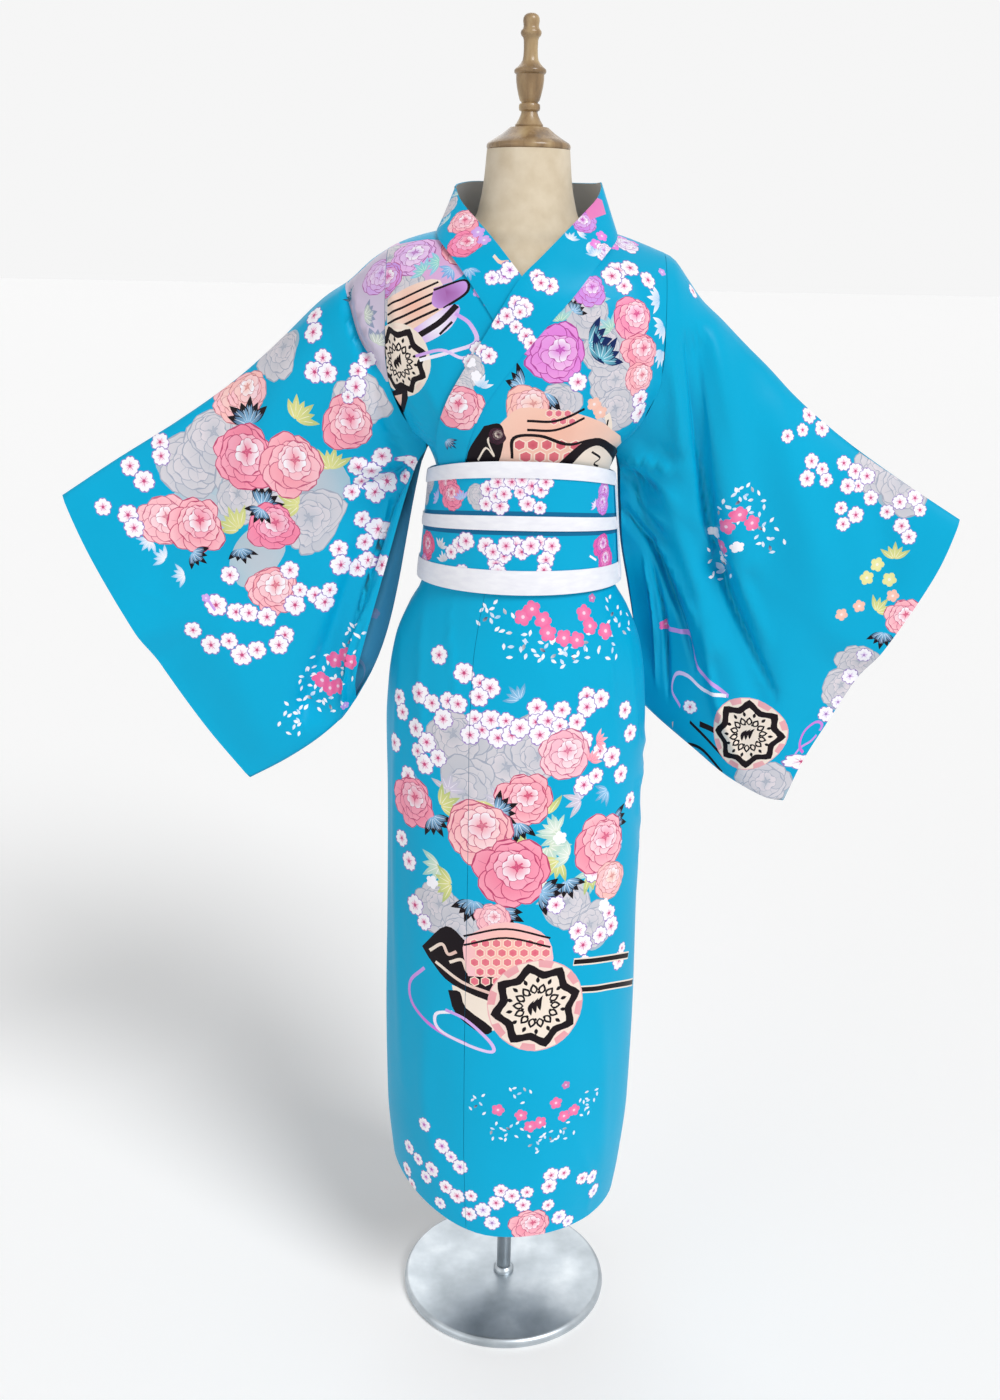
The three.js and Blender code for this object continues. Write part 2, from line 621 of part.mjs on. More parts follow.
function beltRing(shares, inner, wall) {
  const count = 360 / BELT_COLUMN_DEGREES;
  const grid = (grow) => shares.map((share) => Array.from({ length: count }, (_, i) => (
    beltPoint(i * BELT_COLUMN_DEGREES, share, grow))));
  return wallSolid(grid(inner + wall), grid(inner), true);
}

// The sewn edge down the belt's end, on the wearer's left
function beltBinding() {
  const grid = (grow) => BINDING.shares.map((share) => [BINDING.from, BINDING.to].map((angle) => (
    beltPoint(360 + angle, share, grow))));
  return wallSolid(grid(BINDING_LAYER + WALL), grid(BINDING_LAYER));
}

// Points along a sleeve's inner edge, down the armhole and on down the open edge below it
function armholeEdge(mirror, side, grow) {
  const rows = panelRows(mirror, () => 0, FRONT_YOKE).filter((row) => row.sideX !== undefined);
  const layout = { mirror, side, layer: noLayer, rise: () => 0 };
  return rows.reverse().map((row) => {
    const point = panelPoint(row, 0, layout, grow);
    point.x += mirror * ARMHOLE_GAP;
    if (row.share === 0) point.y = 0;
    return point;
  });
}

// A point of a sleeve's drawing, placed in its plane
function inPlane([x, z]) {
  return new THREE.Vector3(x, 0, z);
}

// Sideways push of the folds at a place on the sleeve seen from the front
function foldPush(folds, x, z) {
  const place = new THREE.Vector3(x, 0, z);
  const nearest = new THREE.Vector3();
  return folds.reduce((sum, { from, to, width, depth }) => {
    const line = new THREE.Line3(inPlane(from), inPlane(to));
    const distance = line.closestPointToPoint(place, true, nearest).distanceTo(place);
    return sum + depth * Math.exp(-((distance / width) ** 2));
  }, 0);
}

// Half depth of the bag inside a sleeve; the wrist edge is sewn shut below its opening
function bagHalfDepth(u, v) {
  const open = BAG_HALF_DEPTH * Math.sqrt(4 * v * (1 - v));
  const nearWrist = smooth((u - CUFF.start) / (1 - CUFF.start));
  const belowOpening = smooth((v - CUFF.sewnFrom) / (CUFF.sewnBy - CUFF.sewnFrom));
  return lerp(open, SEWN_HALF_DEPTH, nearWrist * belowOpening);
}

function sleeve(spec) {
  const curve = (points) => new THREE.CatmullRomCurve3(points, false, 'centripetal');
  const wrist = curve(spec.wrist.map(inPlane));
  const bottom = curve(spec.bottom.map(inPlane));
  const corner = inPlane(spec.bottom[0]).setY(spec.bottomCornerY);
  const edges = [-1, 1].map((side) => {
    const open = side < 0 ? spec.innerFront : spec.innerBack;
    const openEdge = open.map((point) => new THREE.Vector3(...point));
    return [...armholeEdge(spec.side, side, WALL), ...openEdge, corner];
  });
  const top = curve([edges[0][0].clone().setY(0), ...spec.top.map(inPlane)]);
  const shares = edgeShares(edges[0]);
  const wallPoint = (u, k, side) => {
    const v = shares[k];
    const inner = edges[side < 0 ? 0 : 1][k];
    const isFold = k === 0 || k === shares.length - 1;
    const place = top.getPointAt(u).multiplyScalar(1 - v)
      .addScaledVector(bottom.getPointAt(u), v)
      .addScaledVector(inner, 1 - u)
      .addScaledVector(wrist.getPointAt(v), u)
      .addScaledVector(top.getPointAt(0), -(1 - u) * (1 - v))
      .addScaledVector(top.getPointAt(1), -u * (1 - v))
      .addScaledVector(bottom.getPointAt(0), -(1 - u) * v)
      .addScaledVector(bottom.getPointAt(1), -u * v);
    const hold = (1 - u) ** ARMHOLE_FADE;
    const middle = spec.bottomCornerY * v * (1 - u) ** CORNER_FADE;
    const half = isFold ? 0 : bagHalfDepth(u, v);
    const push = foldPush(spec.folds, place.x, place.z) * smooth(u / FOLDS_START);
    place.y = hold * inner.y + (1 - hold) * (middle + side * half) + push;
    return place;
  };
  const last = shares.length - 1;
  const outer = SLEEVE_COLUMNS.map((u) => [
    ...shares.map((_, k) => wallPoint(u, k, -1)),
    ...shares.slice(1, last).map((_, k) => wallPoint(u, last - 1 - k, 1)),
  ]);
  const inner = offsetGrid(outer, spec.side * WALL, true);
  seatArmhole(inner[0], spec.side);
  return wallSolid(outer, inner, true);
}

// The sleeve's inner face meets the armhole where the body panels' inner faces end
function seatArmhole(ring, mirror) {
  const front = armholeEdge(mirror, -1, 0);
  const back = armholeEdge(mirror, 1, 0);
  front.forEach((point, k) => ring[k].copy(point));
  back.slice(1).forEach((point, k) => ring.at(-1 - k).copy(point));
}

// How far along an edge each of its points lies, as shares of its length
function edgeShares(points) {
  const reach = [0];
  points.slice(1).forEach((point, i) => reach.push(reach[i] + point.distanceTo(points[i])));
  return reach.map((distance) => distance / reach.at(-1));
}

// A ring of the form at one height, clear of the cloth round it
function formRing({ z, half, power, clear }) {
  const count = 360 / FORM_COLUMN_DEGREES;
  return Array.from({ length: count }, (_, i) => {
    const angle = radians(i * FORM_COLUMN_DEGREES);
    const side = Math.sin(angle) < 0 ? -1 : 1;
    const x = Math.sign(Math.cos(angle)) * half * Math.abs(Math.cos(angle)) ** (2 / power);
    const rounded = depthAt(0, z, -clear, side) * Math.abs(Math.sin(angle)) ** (2 / power);
    return new THREE.Vector3(x, side * Math.min(rounded, depthAt(x, z, -clear, side)), z);
  });
}

function neckRing({ z, half, front, back }) {
  const count = 360 / FORM_COLUMN_DEGREES;
  return Array.from({ length: count }, (_, i) => {
    const angle = radians(i * FORM_COLUMN_DEGREES);
    const reach = Math.sin(angle) < 0 ? front : back;
    return new THREE.Vector3(half * Math.cos(angle), reach * Math.sin(angle), z);
  });
}

// A turned piece standing on +Z, from radii and heights
function turned(profile, segments, base) {
  const geometry = new THREE.LatheGeometry(profile.map(([r, z]) => new THREE.Vector2(r, z)), segments);
  return geometry.rotateX(Math.PI / 2).translate(0, 0, base);
}

function standPieces() {
  const flangeBase = DISC.at(-1)[1] + REST_GAP;
  const poleBase = flangeBase + FLANGE.at(-1)[1] + REST_GAP;
  const poleHeight = FORM_BOTTOM - REST_GAP - poleBase;
  const pole = [[0, 0], [POLE_RADIUS, 0], [POLE_RADIUS, poleHeight], [0, poleHeight]];
  return [
    piece('base_disc', turned(DISC, 48, 0), MATERIALS.chrome),
    piece('base_flange', turned(FLANGE, 24, flangeBase), MATERIALS.chrome),
    piece('pole', turned(pole, 24, poleBase), MATERIALS.chrome),
  ];
}

function formPieces() {
  const capBase = NECK_TOP + REST_GAP;
  const finialBase = capBase + CAP.at(-1)[1] + REST_GAP;
  return [
    piece('form_torso', stackSolid([...FORM.map(formRing), ...NECK.map(neckRing)]), MATERIALS.jersey),
    piece('neck_cap', turned(CAP, 32, capBase), MATERIALS.wood),
    piece('finial', turned(FINIAL, 18, finialBase), MATERIALS.wood),
  ];
}

function garmentPieces() {
  const cloth = (name, geometry) => piece(name, geometry, MATERIALS.cloth);
  return [
    cloth('back_left', backPanel(1)),
    cloth('back_right', backPanel(-1)),
    cloth('front_left', frontPanel(FRONTS.left)),
    cloth('front_right', frontPanel(FRONTS.right)),
    cloth('okumi_left', okumiPanel(FRONTS.left)),
    cloth('okumi_right', okumiPanel(FRONTS.right)),
    cloth('collar_left', collarHalf(COLLAR_LEFT, OVER_COLLAR)),
    cloth('collar_right', collarHalf(COLLAR_RIGHT, UNDER_COLLAR)),
    cloth('sleeve_left', sleeve(SLEEVE_LEFT)),
    cloth('sleeve_right', sleeve(SLEEVE_RIGHT)),
    cloth('obi_belt', beltRing([0, 1], BELT, BELT_WALL)),
    ...BELT_TRIMS.map(({ name, from, to }) => (
      piece(name, beltRing([from, to], BELT_TRIM, WALL), MATERIALS.trim))),
    piece('obi_binding', beltBinding(), MATERIALS.trim),
  ];
}

const model = new THREE.Group();
model.add(...standPieces(), ...formPieces(), ...garmentPieces());

export default model;
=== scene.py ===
# A woman's printed kimono with a narrow stiff belt, on a limbless dress form with a disc stand.
# The shapes are worked out in millimetres and made in metres: +Z up, front towards -Y, and the
# wearer's left is +X. The print is cut into each sheet of cloth as coloured faces.
import math

import bpy
import numpy as np
from mathutils import Matrix, Vector
from mathutils.geometry import delaunay_2d_cdt


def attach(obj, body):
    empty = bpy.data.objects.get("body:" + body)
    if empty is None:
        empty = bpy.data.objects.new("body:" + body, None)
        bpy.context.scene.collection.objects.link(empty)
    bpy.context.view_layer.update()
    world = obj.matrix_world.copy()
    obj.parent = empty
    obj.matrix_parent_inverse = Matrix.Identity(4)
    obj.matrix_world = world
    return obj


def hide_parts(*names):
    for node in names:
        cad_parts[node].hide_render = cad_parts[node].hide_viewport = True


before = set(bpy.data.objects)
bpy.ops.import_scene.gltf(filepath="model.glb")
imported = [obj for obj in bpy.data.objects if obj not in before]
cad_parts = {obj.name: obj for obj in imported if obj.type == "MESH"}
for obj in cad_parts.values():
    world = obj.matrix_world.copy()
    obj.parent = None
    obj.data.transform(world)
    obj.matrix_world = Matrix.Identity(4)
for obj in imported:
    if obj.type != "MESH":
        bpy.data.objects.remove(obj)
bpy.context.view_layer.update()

MM = 0.001

# The camera, and the picture's frame in pixels
PICTURE = (1000, 1400)
FOCAL = 1400.0
EYE = np.array([-21.5, -1765.5, 1490.0])
PITCH = math.radians(17.8)
ROLL = math.radians(1.07)


def camera_axes():
    forward = np.array([0.0, math.cos(PITCH), -math.sin(PITCH)])
    level = np.array([1.0, 0.0, 0.0])
    upright = np.cross(level, forward)
    right = math.cos(ROLL) * level + math.sin(ROLL) * upright
    up = math.cos(ROLL) * upright - math.sin(ROLL) * level
    return right, up, forward


RIGHT, UP, FORWARD = camera_axes()


def to_picture(points):
    """Where points land in the picture, and how far away they are."""
    away = points - EYE
    depth = away @ FORWARD
    across = PICTURE[0] / 2 + FOCAL * (away @ RIGHT) / depth
    down = PICTURE[1] / 2 - FOCAL * (away @ UP) / depth
    return np.stack([across, down], -1), depth


def make_camera():
    data = bpy.data.cameras.new("camera")
    data.sensor_fit = "VERTICAL"
    data.sensor_height = 36.0
    data.lens = 36.0 * FOCAL / PICTURE[1]
    camera = bpy.data.objects.new("camera", data)
    bpy.context.collection.objects.link(camera)
    axes = Matrix([RIGHT, UP, -FORWARD]).transposed().to_4x4()
    camera.matrix_world = Matrix.Translation(Vector(EYE * MM)) @ axes
    bpy.context.scene.camera = camera


class Table:
    """A smooth curve through rows of numbers, without overshoot."""

    def __init__(self, rows, column=1):
        self.at = np.array([row[0] for row in rows], float)
        self.value = np.array([row[column] for row in rows], float)
        slope = np.diff(self.value) / np.diff(self.at)
        self.tangent = np.concatenate([slope[:1], np.zeros(len(rows) - 2), slope[-1:]])
        same = slope[:-1] * slope[1:] > 0
        total = np.where(same, slope[:-1] + slope[1:], 1)
        self.tangent[1:-1] = np.where(same, 2 * slope[:-1] * slope[1:] / total, 0)

    def __call__(self, where):
        where = np.asarray(where, float)
        i = np.clip(np.searchsorted(self.at, where) - 1, 0, len(self.at) - 2)
        step = self.at[i + 1] - self.at[i]
        t = np.clip((where - self.at[i]) / step, 0, 1)
        return (
            (2 * t**3 - 3 * t**2 + 1) * self.value[i]
            + (t**3 - 2 * t**2 + t) * step * self.tangent[i]
            + (3 * t**2 - 2 * t**3) * self.value[i + 1]
            + (t**3 - t**2) * step * self.tangent[i + 1]
        )


# Body surface under the cloth: height, half width, reach to the front, reach to the back, and how
# square the section is (2 is an ellipse)
BODY = [
    (190, 155, 153, 150, 2.0), (243, 162.5, 154, 151, 2.0), (344, 171, 151, 150, 2.0),
    (475, 172.5, 145, 147, 2.0), (640, 170, 137, 143, 2.0), (800, 168.5, 130, 141, 2.0),
    (900, 169.5, 127, 138, 2.0), (960, 166, 124, 133, 2.0), (1010, 158, 119, 126, 2.0),
    (1055, 140, 110, 115, 2.0), (1096, 117.4, 101, 102, 2.0), (1165, 108.4, 93, 91, 2.0),
    (1225, 105, 94, 89, 2.1), (1262, 118, 99, 93, 2.3), (1280, 138, 104, 97, 2.35),
    (1300, 157, 109, 100, 2.4), (1322, 172, 113, 104, 2.4), (1347, 184, 116, 108, 2.4),
    (1400, 196, 118, 114, 2.4), (1450, 204, 118, 118, 2.4), (1620, 210, 118, 118, 2.4),
]
HALF = Table(BODY, 1)
REACH = {-1: Table(BODY, 2), 1: Table(BODY, 3)}
POWER = Table(BODY, 4)
# The shoulder line seen from the front, and how far below it the cloth turns down
RIDGE = Table([
    (-240, 1432), (-213, 1453), (-187, 1476), (-143, 1500), (-104, 1511), (-55, 1521), (0, 1530),
    (55, 1521), (104, 1511), (154, 1494), (179, 1483), (215, 1440), (240, 1415),
])
ROLL_DROP = {-1: 130.0, 1: 95.0}
ROLL_POWER = 2.2
ROLL_ARC = {-1: 199.0, 1: 168.0}
YOKE_LEVEL = 1450.0
ARMHOLE = Table([
    (1262, 116.8), (1280, 133), (1300, 147), (1322, 155), (1347, 162), (1375, 164), (1620, 165),
])
ARC = 155.0  # millimetres of cloth for each radian round the body

WALL = 1.2
UNDER_COLLAR = 2.4
OVER_COLLAR = 7.2
OVER_SKIRT = 2.0
OVER_CHEST = 5.4
COLLAR_WALL = 1.6
BELT = 9.4
BELT_WALL = 2.4
BELT_TRIM = 12.3
BINDING = 14.0
SEAM_GAP = 0.3
SEAM_DEGREES = 0.1
LAYER_RAMP = 54.0


def smooth(t):
    t = np.clip(t, 0, 1)
    return t * t * (3 - 2 * t)


def depth_at(x, z, grow, side):
    """Distance of the body surface from the plane y = 0."""
    across = np.minimum(np.abs(x) / (HALF(z) + grow), 1)
    power = POWER(z)
    drop = np.clip((RIDGE(x) + grow - z) / ROLL_DROP[side], 0, 1)
    roll = (1 - (1 - drop) ** ROLL_POWER) ** (1 / ROLL_POWER)
    return (REACH[side](z) + grow) * (1 - across**power) ** (1 / power) * roll


def arc_of(x, level):
    """Place round the body, in millimetres of cloth from the middle, of a place across it."""
    level = np.minimum(level, YOKE_LEVEL)
    across = np.clip(np.abs(x) / (HALF(level) + WALL), 0, 1)
    return np.sign(x) * ARC * (math.pi / 2 - np.arccos(across ** (POWER(level) / 2)))


def arc_at(angle):
    """The same from degrees round from the wearer's left side seam."""
    return ARC * np.radians(90.0 - np.asarray(angle, float))


def across_of(arc, level, grow):
    level = np.minimum(level, YOKE_LEVEL)
    cosine = np.cos(math.pi / 2 - np.abs(arc) / ARC)
    return np.sign(arc) * (HALF(level) + grow) * np.abs(cosine) ** (2 / POWER(level))


def level_of(x, z, side):
    """Height along the cloth, which runs on over the shoulder, of a height in space."""
    foot = RIDGE(x) - ROLL_DROP[side]
    drop = np.clip((RIDGE(x) - z) / ROLL_DROP[side], 0, 1)
    turn = np.arccos((1 - drop) ** (ROLL_POWER / 2)) / (math.pi / 2)
    return np.where(z < foot, z, foot + ROLL_ARC[side] * (1 - turn))


def side_arc(level):
    """How far round the body its cloth goes: to the side seam, and above that to the armhole."""
    x = ARMHOLE(level) - SEAM_GAP
    start = smooth((np.asarray(level, float) - 1225) / 37)
    return arc_at(SEAM_DEGREES) * (1 - start) + arc_of(x, level) * start


def over_layer(arc, level):
    """How far the wearer's left front stands off the body where it lies over the right one."""
    chest = smooth((level - 1060) / 36)
    shoulder = smooth((level - 1450) / 60)
    ramp = smooth((side_arc(level) - arc) / LAYER_RAMP)
    return (OVER_SKIRT + (OVER_CHEST - OVER_SKIRT) * chest) * (1 - shoulder) * ramp


def body_surface(side, layer=None):
    """The cloth's outer face as a function of the arc round the body and the level up it."""

    def place(arc, level):
        grow = WALL + (layer(arc, level) if layer else 0)
        x = across_of(arc, level, grow)
        top = RIDGE(x) + grow
        foot = top - ROLL_DROP[side]
        turn = np.clip(1 - (level - foot) / ROLL_ARC[side], 0, 1) * (math.pi / 2)
        rolled = top - ROLL_DROP[side] * (1 - np.cos(turn) ** (2 / ROLL_POWER))
        z = np.where(level < foot, level, rolled)
        return np.stack([x, side * depth_at(x, z, grow, side), z], -1)

    return place


def distance_to_path(points, path):
    """Distance of points from a line of points, and how far along it the nearest place lies."""
    best = np.full(len(points), 1e9)
    along = np.zeros(len(points))
    lengths = np.linalg.norm(np.diff(path, axis=0), axis=1)
    reach = np.concatenate([[0], np.cumsum(lengths)])
    for i, length in enumerate(lengths):
        step = (path[i + 1] - path[i]) / length
        t = np.clip((points - path[i]) @ step, 0, length)
        gap = np.linalg.norm(points - path[i] - t[:, None] * step, axis=1)
        closer = gap < best
        best = np.where(closer, gap, best)
        along = np.where(closer, (reach[i] + t) / reach[-1], along)
    return best, along


def normals_of(surface, p, q, step=0.6):
    """Normals by small differences across and up the surface."""
    across = surface(p + step, q) - surface(p - step, q)
    upward = surface(p, q + step) - surface(p, q - step)
    normal = np.cross(across, upward)
    return normal / (np.linalg.norm(normal, axis=1)[:, None] + 1e-12)


def folded(surface, folds, flip):
    """A surface with folds: each pushes out along the normal round a line across the cloth."""

    def place(p, q):
        base = surface(p, q)
        spots = np.stack([p, q], -1)
        push = np.zeros(len(p))
        for path, width, height in folds:
            low, high = path.min(0) - 2.6 * width, path.max(0) + 2.6 * width
            near = np.flatnonzero(((spots > low) & (spots < high)).all(1))
            gap, along = distance_to_path(spots[near], path)
            ends = np.sin(np.pi * np.clip(along, 0.02, 0.98)) ** 0.5
            push[near] += height * ends * np.exp(-((gap / width) ** 2))
        moved = np.flatnonzero(push)
        base[moved] += (normals_of(surface, p[moved], q[moved], 2.0)
                        * (flip * push[moved])[:, None])
        return base

    return place


def linear(colour):
    """Colour from 0-255 display values to the renderer's own linear ones."""
    c = np.array(colour, float) / 255
    return np.where(c <= 0.04045, c / 12.92, ((c + 0.055) / 1.055) ** 2.4)


SATIN = (0, 168, 211)
REVERSE = (74, 146, 184)
COLLAR_REVERSE = (212, 206, 206)
WHITE = (248, 246, 252)
OUTLINE = (150, 120, 190)
ROSE = (240, 96, 150)
CREAM = (240, 226, 212)
INK = (24, 16, 22)


class Print:
    """Coloured shapes drawn on one sheet's cloth, the later over the earlier."""

    def __init__(self, surface, bounds, behind=False, samples=56):
        self.surface = surface
        self.turn = -1.0 if behind else 1.0
        self.shapes = []
        low, high = np.array(bounds[:2], float), np.array(bounds[2:], float)
        grid = [np.linspace(low[k], high[k], samples) for k in (0, 1)]
        self.samples = np.stack(np.meshgrid(*grid), -1).reshape(-1, 2)
        self.seen = to_picture(self.world(self.samples))[0]

    def world(self, spots):
        """Places of spots, turned half round for a back, which is laid out from behind."""
        return self.surface(spots[:, 0], spots[:, 1]) * (self.turn, self.turn, 1.0)

    def locate(self, pixels):
        """The places on the cloth that show at these pixels of the picture."""
        pixels = np.atleast_2d(np.array(pixels, float))
        gap = np.linalg.norm(self.seen[None] - pixels[:, None], axis=2)
        spots = self.samples[gap.argmin(1)].copy()
        for _ in range(4):
            here = to_picture(self.world(spots))[0]
            east = to_picture(self.world(spots + (1.0, 0.0)))[0] - here
            north = to_picture(self.world(spots + (0.0, 1.0)))[0] - here
            miss = pixels - here
            det = east[:, 0] * north[:, 1] - east[:, 1] * north[:, 0]
            det = np.where(np.abs(det) < 0.02, 0.02, det)
            step = np.stack([
                (miss[:, 0] * north[:, 1] - miss[:, 1] * north[:, 0]) / det,
                (east[:, 0] * miss[:, 1] - east[:, 1] * miss[:, 0]) / det,
            ], -1)
            spots = spots + np.clip(step, -25, 25)
        miss = np.linalg.norm(to_picture(self.world(spots))[0] - pixels, axis=1)
        return spots, miss

    def frame_at(self, pixel):
        """The spot at a pixel, millimetres to a pixel, and what turns sideways and upward
        millimetres into the cloth's own."""
        spots, miss = self.locate(pixel)
        if miss[0] > 4:
            return None
        spot = spots[:1]
        here = self.world(spot)
        scale = to_picture(here)[1][0] / FOCAL
        slopes = np.stack([
            (self.world(spot + (2.0, 0.0)) - here)[0] / 2,
            (self.world(spot + (0.0, 2.0)) - here)[0] / 2,
        ], -1)
        normal = np.cross(slopes[:, 0], slopes[:, 1])
        normal /= np.linalg.norm(normal) + 1e-9
        upward = np.array([0.0, 0.0, 1.0]) - normal * normal[2]
        upward /= np.linalg.norm(upward) + 1e-9
        to_cloth = np.linalg.pinv(slopes) @ np.stack([np.cross(upward, normal), upward], -1)
        return spot[0], scale, np.clip(to_cloth, -4, 4)

    def shape(self, points, inner, outer=None, centre=None, radius=1.0, power=1.0):
        """Adds one shape; inner and outer colour it from its centre out to its radius."""
        points = np.array(points, float)
        if len(points) < 3:
            return
        turn = np.roll(points, -1, axis=0)
        area = (points[:, 0] * turn[:, 1] - turn[:, 0] * points[:, 1]).sum() / 2
        if abs(area) < 0.3:
            return
        points = points if area > 0 else points[::-1]
        centre = points.mean(0) if centre is None else centre
        outer = inner if outer is None else outer
        self.shapes.append((points, centre, radius, power, linear(inner), linear(outer)))

    def stamp(self, pixel, size, angle=0.0):
        """A pen that draws in units of its own size round a pixel, or None off the cloth."""
        found = self.frame_at(pixel)
        return None if found is None else Pen(self, *found, size, math.radians(angle))

    def stroke(self, pixels, width, inner, outer=None):
        """A line of even width through pixels, in short overlapping pieces."""
        pixels = spline(pixels, 6)
        spots, miss = self.locate(pixels)
        scale = to_picture(self.world(spots))[1] / FOCAL
        half = width * scale / 2
        for i in range(len(spots) - 1):
            if max(miss[i], miss[i + 1]) > 4:
                continue
            a, b = spots[i], spots[i + 1]
            step = b - a
            length = np.linalg.norm(step)
            if length < 0.2 or length > 60:
                continue
            along = step / length
            side = np.array([-along[1], along[0]])
            a, b = a - along * half[i] * 0.4, b + along * half[i] * 0.4
            share = i / max(len(spots) - 2, 1)
            colour = inner if outer is None else mix(inner, outer, share)
            corners = [a + side * half[i], a - side * half[i], b - side * half[i], b + side * half[i]]
            self.shape(corners, colour)

    def area(self, pixels, inner, outer=None, steps=1):
        """A patch with its corners at pixels, smoothed where it has more steps."""
        pixels = spline(list(pixels) + [pixels[0]], steps)[:-1] if steps > 1 else pixels
        spots, miss = self.locate(pixels)
        if miss.min() > 6:
            return
        centre = spots.mean(0)
        radius = np.linalg.norm(spots - centre, axis=1).max()
        self.shape(spots, inner, outer, centre, radius)


class Pen:
    """Draws shapes round one spot of the cloth, in units of the motif's size."""

    def __init__(self, print_, spot, scale, to_cloth, size, angle):
        self.print = print_
        self.spot = spot
        self.unit = size * scale
        self.to_cloth = to_cloth
        self.turn = np.array([
            [math.cos(angle), -math.sin(angle)],
            [math.sin(angle), math.cos(angle)],
        ])

    def spots(self, points):
        turned = np.array(points, float) @ self.turn.T
        return self.spot + turned * self.unit @ self.to_cloth.T

    def shape(self, points, inner, outer=None, centre=(0.0, 0.0), radius=1.0, power=1.0):
        middle = self.spots([centre])[0]
        self.print.shape(self.spots(points), inner, outer, middle, radius * self.unit, power)


def mix(a, b, share):
    return tuple(np.array(a, float) * (1 - share) + np.array(b, float) * share)


def spline(points, steps):
    """Points along a smooth curve through the given ones."""
    points = np.array(points, float)
    if len(points) < 3 or steps < 2:
        return points
    padded = np.vstack([2 * points[0] - points[1], points, 2 * points[-1] - points[-2]])
    out = []
    for i in range(1, len(padded) - 2):
        a, b, c, d = padded[i - 1 : i + 3]
        for t in np.arange(steps) / steps:
            out.append(0.5 * (
                2 * b + (c - a) * t + (2 * a - 5 * b + 4 * c - d) * t**2
                + (3 * b - a - 3 * c + d) * t**3
            ))
    return np.array(out + [points[-1]])


def round_petal(reach, width, start=0.0, notch=0.0, points=9, angle=0.0):
    """A petal's outline from near the flower's middle outwards, with a notch in its end."""
    t = np.linspace(0, 1, points)
    side = width * np.sin(np.pi * t**0.75) ** 0.75
    along = start + (reach - start) * (1 - (1 - t) ** 1.5)
    upper = np.stack([along, side], -1)
    outline = np.vstack([upper[:-1], [[reach - notch, 0]], (upper * (1, -1))[::-1][1:-1]])
    c, s = math.cos(angle), math.sin(angle)
    return outline @ np.array([[c, s], [-s, c]])


def disc(radius, points=12, squash=1.0, centre=(0.0, 0.0)):
    angle = np.arange(points) * 2 * math.pi / points
    ring = np.stack([radius * np.cos(angle), radius * squash * np.sin(angle)], -1)
    return ring + centre


def ray_strip(start, end, width, angle, taper=1.0):
    strip = np.array([[start, -width], [end, -width * taper], [end, width * taper], [start, width]])
    c, s = math.cos(angle), math.sin(angle)
    return strip @ np.array([[c, s], [-s, c]])


def blossom(pen, tint=ROSE, white=WHITE):
    """A cherry blossom: five notched petals with a tinted heart, and stamens."""
    turns = [2 * math.pi * k / 5 + math.pi / 2 for k in range(5)]
    for turn in turns:
        pen.shape(round_petal(1.07, 0.50, 0.0, 0.07, 7, turn), OUTLINE)
    for turn in turns:
        petal = round_petal(0.99, 0.44, 0.05, 0.15, 8, turn)
        pen.shape(petal, mix(tint, white, 0.5), white, radius=0.46)
    for turn in turns:
        pen.shape(ray_strip(0.1, 0.5, 0.03, turn + 0.1, 0.5), mix(tint, OUTLINE, 0.4))
        pen.shape(ray_strip(0.1, 0.42, 0.022, turn - 0.35, 0.5), mix(tint, white, 0.3))
    pen.shape(disc(0.16, 7), mix(tint, INK, 0.2))


def wobble(number):
    """A steady value between -1 and 1 that looks unordered."""
    return math.sin(12.9898 * number + 4.1) * math.cos(7.233 * number)


def peony(pen, deep, light, heart, line=None):
    """A peony of uneven overlapping petals, gathered towards one side round a pale cup."""
    line = line or mix(deep, (120, 20, 70), 0.4)
    seed = pen.spot[0] * 0.37 + pen.spot[1] * 0.11
    rings = [
        (7, 1.0, 0.46, deep, light, 0.0), (6, 0.80, 0.42, mix(deep, light, 0.2), light, 0.06),
        (5, 0.60, 0.36, mix(deep, light, 0.6), mix(light, heart, 0.4), 0.12),
        (4, 0.40, 0.27, mix(deep, light, 0.3), heart, 0.16),
    ]
    for ring, (count, reach, width, inner, outer, lean) in enumerate(rings):
        for k in range(count):
            draw = wobble(seed + 9 * ring + k)
            turn = 2 * math.pi * (k + 0.5 * ring) / count + 0.22 * draw
            span = reach * (1 + 0.13 * wobble(seed + 3.7 * k + ring))
            broad = width * (1 + 0.2 * draw)
            edge = round_petal(span * 1.03, broad * 1.06, 0.05, 0.04, 8, turn) + (lean, lean)
            pen.shape(edge, line)
            tone = mix(outer, deep, max(0.0, 0.5 * draw))
            petal = round_petal(span, broad, 0.07, 0.07, 8, turn) + (lean, lean)
            pen.shape(petal, inner, tone, (lean, lean), span, 1.2)
            if ring < 3:
                vein = ray_strip(span * 0.45, span * 0.86, 0.012, turn + 0.12 * draw, 0.4)
                pen.shape(vein + (lean, lean), mix(line, tone, 0.35))
    for k in range(5):
        mark = ray_strip(0.02, 0.16, 0.025, 1.35 * k + 0.4) + (0.18, 0.18)
        pen.shape(mark, mix(deep, line, 0.5))


def wash(pen, colour, edge, points=11):
    """An uneven patch of pale colour, as a brush leaves it."""
    seed = pen.spot[0] * 0.23 + pen.spot[1] * 0.19
    angle = np.arange(points) * 2 * math.pi / points
    reach = np.array([1 + 0.28 * wobble(seed + k) for k in range(points)])
    ring = np.stack([reach * np.cos(angle), reach * np.sin(angle)], -1)
    pen.shape(spline(np.vstack([ring, ring[:1]]), 3)[:-1], colour, edge, radius=1.2, power=2.2)


